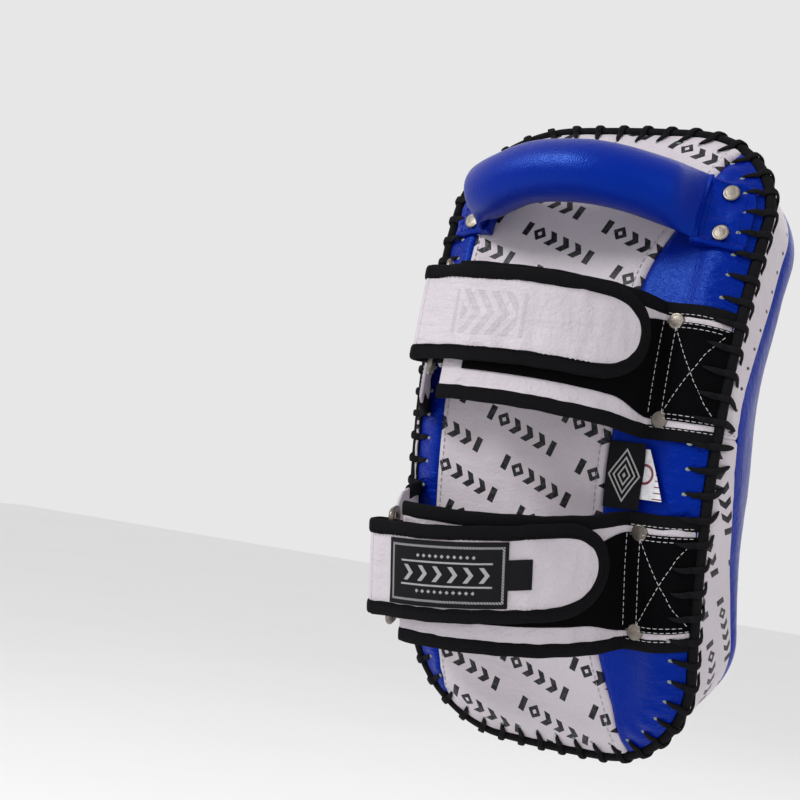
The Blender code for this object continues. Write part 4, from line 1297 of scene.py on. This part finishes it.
def thread_line(ribbon, points, lift):
    """Run of (point, normal) pairs along straight stretches between (d, z) points."""
    run = []
    for (d0, z0), (d1, z1) in zip(points, points[1:]):
        for share in spread(0.0, 1.0, 24):
            d, z = d0 + (d1 - d0) * share, z0 + (z1 - z0) * share
            run.append((ribbon.at(d, z, lift), ribbon.normal(d, z)))
    return run


def anchor_threads(key, ribbon):
    """White thread: a crossed box on the fabric, lines along the tapes and one at the fold."""
    fold = ribbon.fold
    fabric = PATCH / 2 + FABRIC + 0.0004
    far, close, up = 0.0045, fold - 0.0090, 0.0250
    lines = [((close, up), (far, up)), ((close, -up), (far, -up)), ((close, up), (close, -up)),
             ((close, up), (far, -up)), ((close, -up), (far, up))]
    lines = [(line, fabric) for line in lines]
    for sign in (1, -1):
        for z, lift in ((sign * TAPE_SEAM, TAPE / 2 + 0.0001), (sign * 0.0275, fabric)):
            lines.append((((fold - 0.002, z), (0.003, z)), lift))
    parts = [stitches("part", thread_line(ribbon, line, lift), white_thread)
             for line, lift in lines]
    keep(join(f"{key}_anchor_thread", parts), "pad")
    line = ((fold + 0.001, up + 0.003), (fold + 0.001, -up - 0.003))
    sew(f"{key}_fold_thread", thread_line(ribbon, line, fabric), white_thread)


def tongue_ribbon(key):
    """Inner arm, fold and tongue of the closing strap, in one run."""
    strap = Strap(key)
    spec = strap.spec
    way = ring_way(spec)
    fold = fold_arc(spec, 180.0, 0.0, 19)
    inner = [fold[0] - way * d for d in spread(0.024, 0.002, 8)]
    band = Ribbon(strap, band_path(spec))
    over = [p + n * TONGUE_OFFSET for p, n, d in zip(band.path, band.sides, band.walked)
            if spec["tip"] < d < band.total - 0.003]
    ribbon = Ribbon(strap, inner + fold + over[::-1])
    ribbon.start = 0.024 + math.pi * (TONGUE_OFFSET - TAIL_OFFSET) / 2
    ribbon.cad_start = ribbon.start - math.radians(84) * (TONGUE_OFFSET - TAIL_OFFSET) / 2
    ribbon.centre = glide(ribbon.cad_start, ribbon.total, spec["z_ring"], spec["z_tip"])
    return ribbon


def closing_strap(key):
    ribbon = tongue_ribbon(key)
    start, total = ribbon.start, ribbon.total
    half = TONGUE_WIDTH / 2
    body = f"{key}_closing_tongue"
    crossing_start = ribbon.at(0.021, 0.0)
    crossing_end = crossing_start.lerp(ribbon.at(start, 0.0), 0.98)
    crossing = (f"{key}_forearm_band", body, crossing_start, crossing_end)

    def edges(d):
        past = max(0.0, d - (total - TONGUE_END)) / TONGUE_END
        reach = half * math.sqrt(max(0.0, 1.0 - past * past)) - BINDING * 0.45
        return -max(0.0015, reach), max(0.0015, reach)

    finish = embossed_leather if key == "upper" else white_leather
    leather_end = total - BINDING * 0.5
    tongue = strap_sheet(f"{key}_tongue_leather", ribbon, (start, leather_end), edges,
                         -TONGUE_HALF, TONGUE_HALF, finish, 24, 0.0022, 0.0007)
    keep(tongue, body, replaces=[f"{key}_tongue"])
    fold = strap_sheet(f"{key}_fold_leather", ribbon, (0.0, start), edges, -TONGUE_HALF,
                       TONGUE_HALF, white_leather, 24, 0.0012, 0.0003)
    keep(fold, blend=crossing, replaces=[f"{key}_strap_tail"])
    middle = half - BINDING / 2
    top = straight_line(start, total - TONGUE_END, middle, 0.0025)
    tip = [(total - TONGUE_END + (TONGUE_END - BINDING / 2) * math.sin(a), middle * math.cos(a))
           for a in (math.pi * k / 40 for k in range(1, 40))]
    bottom = [(d, -z) for d, z in reversed(top)]
    tape = strap_tape(f"{key}_tongue_tape", ribbon, top + tip + bottom, TONGUE_TAPE_HALF)
    keep(tape, body, replaces=[f"{key}_tongue_binding"])
    for side, sign in SIDES:
        line = straight_line(0.0, start, sign * middle, 0.0012)
        tape = strap_tape(f"{key}_fold_tape_{side}", ribbon, line, TONGUE_TAPE_HALF, 9.0)
        keep(tape, blend=crossing)
    seam = [(d, z * (middle - BINDING * 0.38) / middle) for d, z in top + tip + bottom]
    run = [(ribbon.at(d, z, -TONGUE_TAPE_HALF), ribbon.normal(d, z, -1.0)) for d, z in seam]
    sew(f"{key}_tongue_thread", run, black_tape, body, pitch=0.0030, length=0.0024,
        radius=0.0004)
    hook = strap_sheet(f"{key}_hook_pile", ribbon, (start + 0.045, total - 0.027),
                       lambda d: (-HOOK_HALF_WIDTH, HOOK_HALF_WIDTH), TONGUE_HALF, 0.0020,
                       loop_pile, 10)
    keep(hook, body, replaces=[f"{key}_hook_fabric"])
    if key == "lower":
        tongue_labels(ribbon, body)


def tongue_labels(ribbon, body):
    base = ribbon.cad_start
    half = TONGUE_WIDTH / 2 - BINDING - 0.0004
    label = strap_sheet("tongue_label", ribbon, (base + 0.022, base + 0.092),
                        lambda d: (-half, half), -0.0022, -0.0013, big_label, 16, 0.003,
                        0.0004, centred=True)
    keep(label, body, replaces=["woven_label"], cut=(0.070, 2 * half))
    tab = strap_sheet("tongue_size_tab", ribbon, (base + 0.0915, base + 0.105),
                      lambda d: (-0.0085, 0.0085), -0.0020, -0.0012, plain_label, 6, 0.003,
                      0.0003, centred=True)
    keep(tab, body, replaces=["size_tab"], cut=(0.0135, 0.017))


def steel_ring(key):
    """Rectangular ring of round wire."""
    strap = Strap(key)
    spec = strap.spec
    first, second = Vector(spec["bar"]), ring_bar(spec)
    way = (second - first).normalized()
    half_z = RING_SPAN / 2 - RING_CORNER
    half_w = RING_PITCH / 2 - RING_CORNER
    middle = (first + second) / 2
    across = Vector((-way.y, way.x))
    loops = []
    for sign_w, sign_z, start in ((1, 1, 0), (-1, 1, 90), (-1, -1, 180), (1, -1, 270)):
        for k in range(9):
            a = math.radians(start + 90 * k / 8)
            w = sign_w * half_w + RING_CORNER * math.cos(a)
            z = sign_z * half_z + RING_CORNER * math.sin(a)
            loop = []
            for turn in turns(16):
                out, off = RING_WIRE * math.cos(turn), RING_WIRE * math.sin(turn)
                spot = middle + way * (w + out * math.cos(a)) + across * off
                loop.append(strap.world(spot.x, spec["z_ring"] + z + out * math.sin(a), spot.y))
            loops.append(loop)
    keep(tube(f"{key}_wire_ring", loops, nickel, closed=True), f"{key}_steel_ring",
         replaces=[f"{key}_ring"])


def root_strap(key):
    """Laced-in patch and the strap that holds the ring, on the pad's other edge."""
    strap = Strap(key)
    spec = strap.spec
    held = ring_bar(spec)
    radius = RING_WIRE + 0.0017
    bottom = STRAP_LIFT
    edge = -(PAD_WIDTH / 2 - 0.0035)
    top = held + Vector((-radius, 0.0))
    foot = Vector((spec["root_x"] - 0.0020, 0.012))
    path = [Vector((edge, bottom)), Vector((edge + 0.002, bottom))]
    path += bezier((path[-1] + Vector((0.001, 0.0)), (spec["root_x"] - 0.002, bottom), foot,
                    top), 26)
    path += [held + Vector((math.cos(a), math.sin(a))) * radius
             for a in degrees(spread(160, -20, 10))]
    back_down = (Vector((spec["root_x"] + 0.001, 0.004)) - top).normalized()
    path += [path[-1] + back_down * d for d in (0.004, 0.009, 0.014)]
    patch_length = abs(edge - spec["root_x"])
    ribbon = Ribbon(strap, path, lambda d: 1.0 - ease((d - patch_length) / 0.022))
    ribbon.centre = glide(patch_length, ribbon.total - 0.02, spec["z_anchor"], spec["z_ring"])

    def edges(d):
        past = (d - patch_length) / (ribbon.total - patch_length - 0.024)
        half = STRAP_INNER + (ROOT_END_HALF_WIDTH - STRAP_INNER) * ease((past - 0.40) / 0.60)
        return -half, half

    begin = strap.world(spec["root_x"] - 0.003, 0.0, 0.001)
    finish_at = strap.world(spec["root_x"] + 0.001, 0.0, 0.013)
    crossing = ("pad", f"{key}_root", begin, finish_at)
    leather_part = strap_sheet(f"{key}_root_leather", ribbon, (0.0, ribbon.total), edges,
                               -PATCH / 2, PATCH / 2 - 0.0004, white_leather, 22, 0.0022, 0.0003)
    keep(leather_part, blend=crossing, replaces=[f"{key}_root_patch", f"{key}_root_strap"])
    for side, sign in SIDES:
        line = [(d, sign * (edges(d)[1] - BINDING / 2 + 0.0015))
                for d in spread(0.0, patch_length + 0.014, 18)]
        tape = strap_tape(f"{key}_root_tape_{side}", ribbon, line, seed=5.0)
        keep(tape, blend=crossing, replaces=[f"{key}_root_binding_{side}"])
        z = sign * TAPE_SEAM
        run = [(ribbon.at(d, z, -TAPE / 2 - 0.0001), ribbon.normal(d, z, -1.0))
               for d in spread(0.002, patch_length + 0.006, 14)]
        sew(f"{key}_root_thread_{side}", run, white_thread)
        run = [(ribbon.at(d, sign * (edges(d)[1] - 0.0032), -PATCH / 2 - 0.0001),
                ribbon.normal(d, z, -1.0))
               for d in spread(patch_length + 0.016, ribbon.total - 0.032, 24)]
        sew(f"{key}_root_hem_thread_{side}", run, grey_thread, blend=crossing)


def rivet(name, spot, way):
    """Domed cap with a rolled rim and a shallow dimple."""
    turn = Vector((0, 0, 1)).rotation_difference(way).to_matrix().to_4x4()
    profile = ((0.90, -0.0004), (1.0, 0.0002), (1.0, 0.0006), (0.95, 0.0010), (0.86, 0.00112),
               (0.78, 0.00108), (0.55, 0.00116), (0.30, 0.00122), (0.10, 0.00124))
    loops = [[turn @ p + spot for p in oval(Vector((0, 0, height)), Vector((1, 0, 0)),
                                            Vector((0, 1, 0)), RIVET_RADIUS * size,
                                            RIVET_RADIUS * size, 28)]
             for size, height in profile]
    return tube(name, loops, nickel, sharp=70)


# ---- handle ----
def handle_arch(part):
    """Rise of the grip: steep at its pushed-in left end, easier on the right."""
    power = 0.52 if part < 0 else 0.95
    return math.sin(math.pi / 2 * max(0.0, 1.0 - abs(part)) ** power)


def grip_loops(sides, stations):
    """Cross-sections of the padded grip, which flattens into its tabs at both ends."""
    base, along, out = surface_frame(HANDLE_S)
    loops = []
    for t in spread(-1.0, 1.0, stations):
        part = GRIP_REACH * math.sin(t * math.pi / 2)
        arch = handle_arch(part)
        spread_x = HANDLE_HALF_SPAN * (1.09 if part < 0 else 1.0)
        sag = 0.003 * arch + GRIP_END_SAG * near(part + 0.80, 0.30)
        centre = (base + Vector((part * spread_x, 0, 0)) + along * (HANDLE_LEAN * arch - sag)
                  + out * (HANDLE_BASE + HANDLE_RISE * arch))
        slope = (handle_arch(part + 0.015) - handle_arch(part - 0.015)) / (
            0.030 * HANDLE_HALF_SPAN)
        tangent = (Vector((1, 0, 0)) + along * (HANDLE_LEAN * slope)
                   + out * (HANDLE_RISE * slope)).normalized()
        wide = (along - tangent * along.dot(tangent)).normalized()
        thick = tangent.cross(wide)
        body = ease((1.0 - abs(part)) / (0.12 if part < 0 else 0.26))
        end = ease((1.0 - abs(part)) / 0.08)
        half_w = (TAB_WIDTH + (GRIP_WIDTH + GRIP_FULLNESS - TAB_WIDTH) * body) / 2 - 0.0006
        low = 0.0030 + (GRIP_END / 2 - 0.0030) * end
        half_t = low + (GRIP_THICKNESS / 2 - low) * body
        crease = 0.0005 * noise.noise(Vector((part * 9.0, 2.0, 0))) * (1.0 - body)
        loop = []
        for a in turns(sides):
            bump = 1.0 + 0.018 * noise.noise(Vector((part * 2.2, math.cos(a), math.sin(a))))
            loop.append(centre + wide * (half_w * bump * math.cos(a))
                        + thick * ((half_t + crease) * bump * math.sin(a)))
        loops.append(loop)
    return loops


def handle():
    base, _, out = surface_frame(HANDLE_S)
    crossing = ("pad", "handle_grip", base + out * 0.0115, base + out * 0.0250)
    sleeve = tube("handle_padded_sleeve", grip_loops(44, 97), sleeve_leather)
    warp(sleeve, blown(sleeve, lambda p: abs(p.x) > HANDLE_HALF_SPAN * 0.93, **GRIP_CLOTH))
    keep(sleeve, blend=crossing, replaces=["handle_sleeve", "handle_filling"], fill=0.8)
    for name, side in (("left", -1), ("right", 1)):
        handle_tab(name, side)


def tab_lift(x, s):
    past = abs(x) - plain_x(HANDLE_HALF_SPAN, s)
    settle = 1.0 - ease(past / 0.014)
    height = 0.0004 + 0.0052 * settle
    z = s - HANDLE_S
    wrinkle = 0.0024 * noise.noise(Vector((x * 55, z * 230, 1.0))) * ease(past / 0.012)
    wrinkle += 0.0006 * noise.noise(Vector((x * 210, z * 150, 6.0)))
    return height + max(-0.0003, wrinkle)


def handle_tab(name, side):
    """Flat end of the handle: folded edges, wrinkles and a stitched box with two rivets."""
    half = TAB_WIDTH / 2
    start = HANDLE_HALF_SPAN * (1.03 if side < 0 else 0.98)
    rows = []
    for part in spread(0.0, 1.0, 34):
        row = []
        for z in spread(-half, half, 29):
            s = HANDLE_S + z
            first = plain_x(start, s)
            last = edge_half_width(s, 0.0064)
            row.append((side * (first + (last - first) * part), s))
        rows.append(row)

    def point(x, s, h):
        z = s - HANDLE_S
        hem = 0.0012 * near(half - abs(z) - 0.0022, 0.0016) * (1.0 if h > 0.001 else 0.0)
        line = 0.0006 * near(abs(z) - half + 0.0048, 0.0008)
        top = tab_lift(x, s) + hem - line if h > 0.001 else 0.0003
        return back_surface(x, s, top + h)

    tab = sheet(f"handle_tab_leather_{name}", rows, point, 0.0, 0.0026, blue_leather)
    keep(tab, "pad", replaces=[f"handle_tab_{name}"])
    first, last, up = (HANDLE_HALF_SPAN + TAB_BOX[0], HANDLE_HALF_SPAN + TAB_BOX[1], TAB_BOX[2])
    corners = ((first, up), (last, up), (last, -up), (first, -up), (first, up))
    run = []
    for (x0, z0), (x1, z1) in zip(corners, corners[1:]):
        for share in spread(0.0, 1.0, 16)[:-1]:
            x, s = side * (x0 + (x1 - x0) * share), HANDLE_S + z0 + (z1 - z0) * share
            x = plain_x(x, s)
            run.append((point(x, s, 0.0027), Vector((0, -0.95, 0.3))))
    sew(f"handle_tab_thread_{name}", run, dark_thread, pitch=0.0034, length=0.0024)
    _, _, out = surface_frame(HANDLE_S)
    past, off = TAB_RIVETS
    for level, sign in SIDES:
        s = HANDLE_S + sign * off
        x = plain_x(side * (HANDLE_HALF_SPAN + past), s)
        spot = back_surface(x, s, 0.0008 + 0.0033)
        way = (out + Vector((side * 0.11, 0, 0))).normalized()
        cap = rivet(f"handle_rivet_cap_{name}_{level}", spot, way)
        keep(cap, "pad", replaces=[f"handle_rivet_{name}_{level}"])


# ---- labels caught in the back's seam ----
def seam_labels():
    def lay(name, finish, reach, s_range, low, thick, curl, node):
        first, last = s_range
        rows = [[(x, s) for x in spread(0.0, reach((s - first) / (last - first)), 17)]
                for s in spread(first, last, 19)]
        width = reach(0.0)

        def point(x, s, h):
            part = x / width
            lift = low + h + 0.08 * x + curl * part * part
            lift += 0.0006 * math.sin(s * 210 + x * 90) * part
            seam = seam_right(s) + 0.0008
            return back_surface(seam + x, s, lift)

        middle = (first + last) / 2
        label = sheet(name, rows, point, 0.0, thick, finish,
                      uv=lambda a, b: (a - width / 2, b - middle))
        keep(label, "side_labels", replaces=[node], cut=(width, last - first))

    lay("side_label_cloth", small_label, lambda part: 0.0237, (-0.0410, -0.0030), 0.0012,
        0.0008, 0.0006, "side_label")
    lay("care_tag_cloth", tag_cloth, lambda part: 0.0385 - 0.0125 * part, (-0.0345, -0.0060),
        0.0003, 0.0005, 0.0010, "care_tag")


# ---- cloth ----
CLOTH = {"use_pressure": True, "vertex_group_mass": "held", "tension_stiffness": 12.0,
         "compression_stiffness": 12.0, "shear_stiffness": 6.0, "bending_stiffness": 1.2,
         "quality": 5}
CLOTH_FRAMES = 20
PAD_CLOTH = {"pressure": 1.3, "limit": 0.0035, "voxel": 0.006}
GRIP_CLOTH = {"pressure": 4.0, "limit": 0.0022, "voxel": 0.0042}
PAD_HELD = 0.007            # the skin is held this close to its seams
SWELL_FADE = 0.03           # reach of the swell off the simulated skin


def blown(source, pinned, pressure, limit, voxel):
    """The swell that inflating a copy of the mesh as cloth gives it."""
    skin = bpy.data.objects.new(source.name + "_skin", source.data.copy())
    skin.matrix_world = source.matrix_world.copy()
    bpy.context.scene.collection.objects.link(skin)
    bpy.ops.object.select_all(action="DESELECT")
    bpy.context.view_layer.objects.active = skin
    skin.select_set(True)
    remesh = skin.modifiers.new("remesh", "REMESH")
    remesh.mode = "VOXEL"
    remesh.voxel_size = voxel
    bpy.ops.object.modifier_apply(modifier=remesh.name)
    before = [v.co.copy() for v in skin.data.vertices]
    group = skin.vertex_groups.new(name="held")
    group.add([i for i, p in enumerate(before) if pinned(p)], 1.0, "REPLACE")
    cloth = skin.modifiers.new("cloth", "CLOTH")
    for setting, value in CLOTH.items():
        setattr(cloth.settings, setting, value)
    cloth.settings.uniform_pressure_force = pressure
    cloth.settings.effector_weights.gravity = 0.0
    cloth.collision_settings.use_self_collision = False
    cloth.point_cache.frame_start = 1
    cloth.point_cache.frame_end = CLOTH_FRAMES
    for number in range(1, CLOTH_FRAMES + 1):
        bpy.context.scene.frame_set(number)
    bpy.ops.object.modifier_apply(modifier=cloth.name)
    swell = Swell(before, [v.co.copy() for v in skin.data.vertices], limit)
    bpy.context.scene.frame_set(1)
    bpy.data.objects.remove(skin)
    return swell


def capped(move, limit):
    return move * min(1.0, limit / max(1e-9, move.length))


class Swell:
    """Displacements of a simulated skin, spread to the space around it."""

    def __init__(self, before, after, limit):
        self.moves = [capped(b - a, limit) for a, b in zip(before, after)]
        self.tree = kdtree.KDTree(len(before))
        for i, spot in enumerate(before):
            self.tree.insert(spot, i)
        self.tree.balance()

    def at(self, spot):
        total, weight = Vector(), 0.0
        found = self.tree.find_n(spot, 6)
        for _, i, distance in found:
            share = 1.0 / (distance + 0.002) ** 2
            total += self.moves[i] * share
            weight += share
        return total / weight * (1.0 - ease(found[0][2] / SWELL_FADE))


def warp(obj, swell):
    for vert in obj.data.vertices:
        vert.co += swell.at(vert.co)


def pad_skin():
    """Coarse closed copy of the stuffed body for the cloth to inflate."""
    us = [-1.0 + (i + 0.5) / 60 for i in range(120)]
    loops = [[back_point(*inside(u, inset), 0.0) for u in us]
             for inset in (0.055, 0.035, 0.020, 0.009)]
    loops += [[pad_point(u, *gusset_inset(u, part)) for u in us]
              for part in (0.0, 0.33, 0.66, 1.0)]
    loops += [[pad_point(u, *shoulder(u, angle)) for u in us]
              for angle in degrees((12, 25, 40, 55, 70, 82))]
    return tube("pad_skin", loops, blue_leather)


def pad_swell():
    """How the filling rounds the pad out between its seams and its lacing."""
    skin = pad_skin()
    seams = kdtree.KDTree(480)
    for number in range(240):
        u = -1.0 + (number + 0.5) / 120
        seams.insert(pad_point(u, 0.0, CORD_DEPTH), 2 * number)
        seams.insert(pad_point(u, *gusset_inset(u, 1.0)), 2 * number + 1)
    seams.balance()
    swell = blown(skin, lambda p: seams.find(p)[2] < PAD_HELD, **PAD_CLOTH)
    bpy.data.objects.remove(skin)
    return swell


# ---- studio ----
def studio():
    floor_height = -0.46
    bpy.ops.mesh.primitive_plane_add(size=14, location=(0, 0, floor_height))
    floor = bpy.context.active_object
    floor.name = "studio_floor"
    paint = Paint("studio_floor", 0.92, specular_ior_level=0.1)
    paint.colour(paint.blend((0.86, 0.86, 0.87), (0.89, 0.89, 0.90), paint.noise(3, 2)))
    floor.data.materials.append(paint.material)
    world = bpy.context.scene.world or bpy.data.worlds.new("studio")
    bpy.context.scene.world = world
    world.use_nodes = True
    sky = world.node_tree.nodes["Background"]
    sky.inputs["Color"].default_value = (1.0, 1.0, 1.0, 1.0)
    sky.inputs["Strength"].default_value = 0.80
    for name, spot, size, power in (("key", (-1.0, -1.5, 1.3), 0.55, 30.0),
                                    ("fill", (1.8, -1.1, 0.5), 1.3, 6.0),
                                    ("back", (0.3, 1.8, 1.2), 1.4, 6.0)):
        light = bpy.data.lights.new(name, "AREA")
        light.size = size
        light.energy = power
        lamp = bpy.data.objects.new(name, light)
        lamp.location = spot
        lamp.rotation_euler = (-Vector(spot)).to_track_quat("-Z", "Y").to_euler()
        bpy.context.scene.collection.objects.link(lamp)


bpy.context.scene.view_settings.view_transform = "Standard"

CAMERA_AZIMUTH = 32.6
CAMERA_ELEVATION = -2.5
CAMERA_ROLL = 7.9           # the pad leans to the right in the picture
CAMERA_DISTANCE = 1.108
AIM_RIGHT = 0.097           # pad's middle, right of and below the picture's middle
AIM_DOWN = 0.018


def camera():
    data = bpy.data.cameras.new("main")
    data.lens = 85
    data.sensor_width = 36
    made = bpy.data.objects.new("main", data)
    a, e = math.radians(CAMERA_AZIMUTH), math.radians(CAMERA_ELEVATION)
    away = Vector((math.sin(a) * math.cos(e), -math.cos(a) * math.cos(e), math.sin(e)))
    turn = away.to_track_quat("Z", "Y").to_matrix()
    roll = math.radians(CAMERA_ROLL)
    right = turn.col[0] * math.cos(roll) + turn.col[1] * math.sin(roll)
    up = turn.col[1] * math.cos(roll) - turn.col[0] * math.sin(roll)
    spot = Vector((0.0, 0.014, 0.0)) + away * CAMERA_DISTANCE - right * AIM_RIGHT + up * AIM_DOWN
    rows = [(right[i], up[i], away[i], spot[i]) for i in range(3)]
    made.matrix_world = Matrix((*rows, (0, 0, 0, 1)))
    bpy.context.scene.collection.objects.link(made)
    bpy.context.scene.camera = made


# ---- assembly ----
def dress_frame():
    """Procedural materials for the frame's own pieces, mostly hidden under the leather."""
    foam = Paint("foam_rubber", 0.9)
    foam.colour(foam.blend((0.55, 0.50, 0.36), (0.40, 0.36, 0.25), foam.cells(600)))
    foam.relief((foam.cells(900), 0.0003))
    looks = {slot: finishes[0] for slot, finishes in FINISHES.items()}
    looks["foam"] = foam.material
    for obj in list(bpy.context.scene.objects):
        if obj.type != "MESH" or obj in MADE:
            continue
        for place_in in obj.material_slots:
            name = place_in.material.name.split(".")[0] if place_in.material else ""
            if name in looks:
                place_in.material = looks[name]


def assemble():
    swell = pad_swell()
    for obj, body, blend, nodes, fill, cut in BUILT:
        if swell:
            warp(obj, swell)
        if body:
            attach(obj, body)
        else:
            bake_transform(obj)
        if nodes:
            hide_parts(*nodes)


back_panels()
seam_threads()
side_walls()
striking_face()
edge_cord()
lacing()
for strap_key in STRAPS:
    forearm_strap(strap_key)
    closing_strap(strap_key)
    steel_ring(strap_key)
    root_strap(strap_key)
handle()
seam_labels()
MADE = {item[0] for item in BUILT}
dress_frame()
assemble()
studio()
camera()
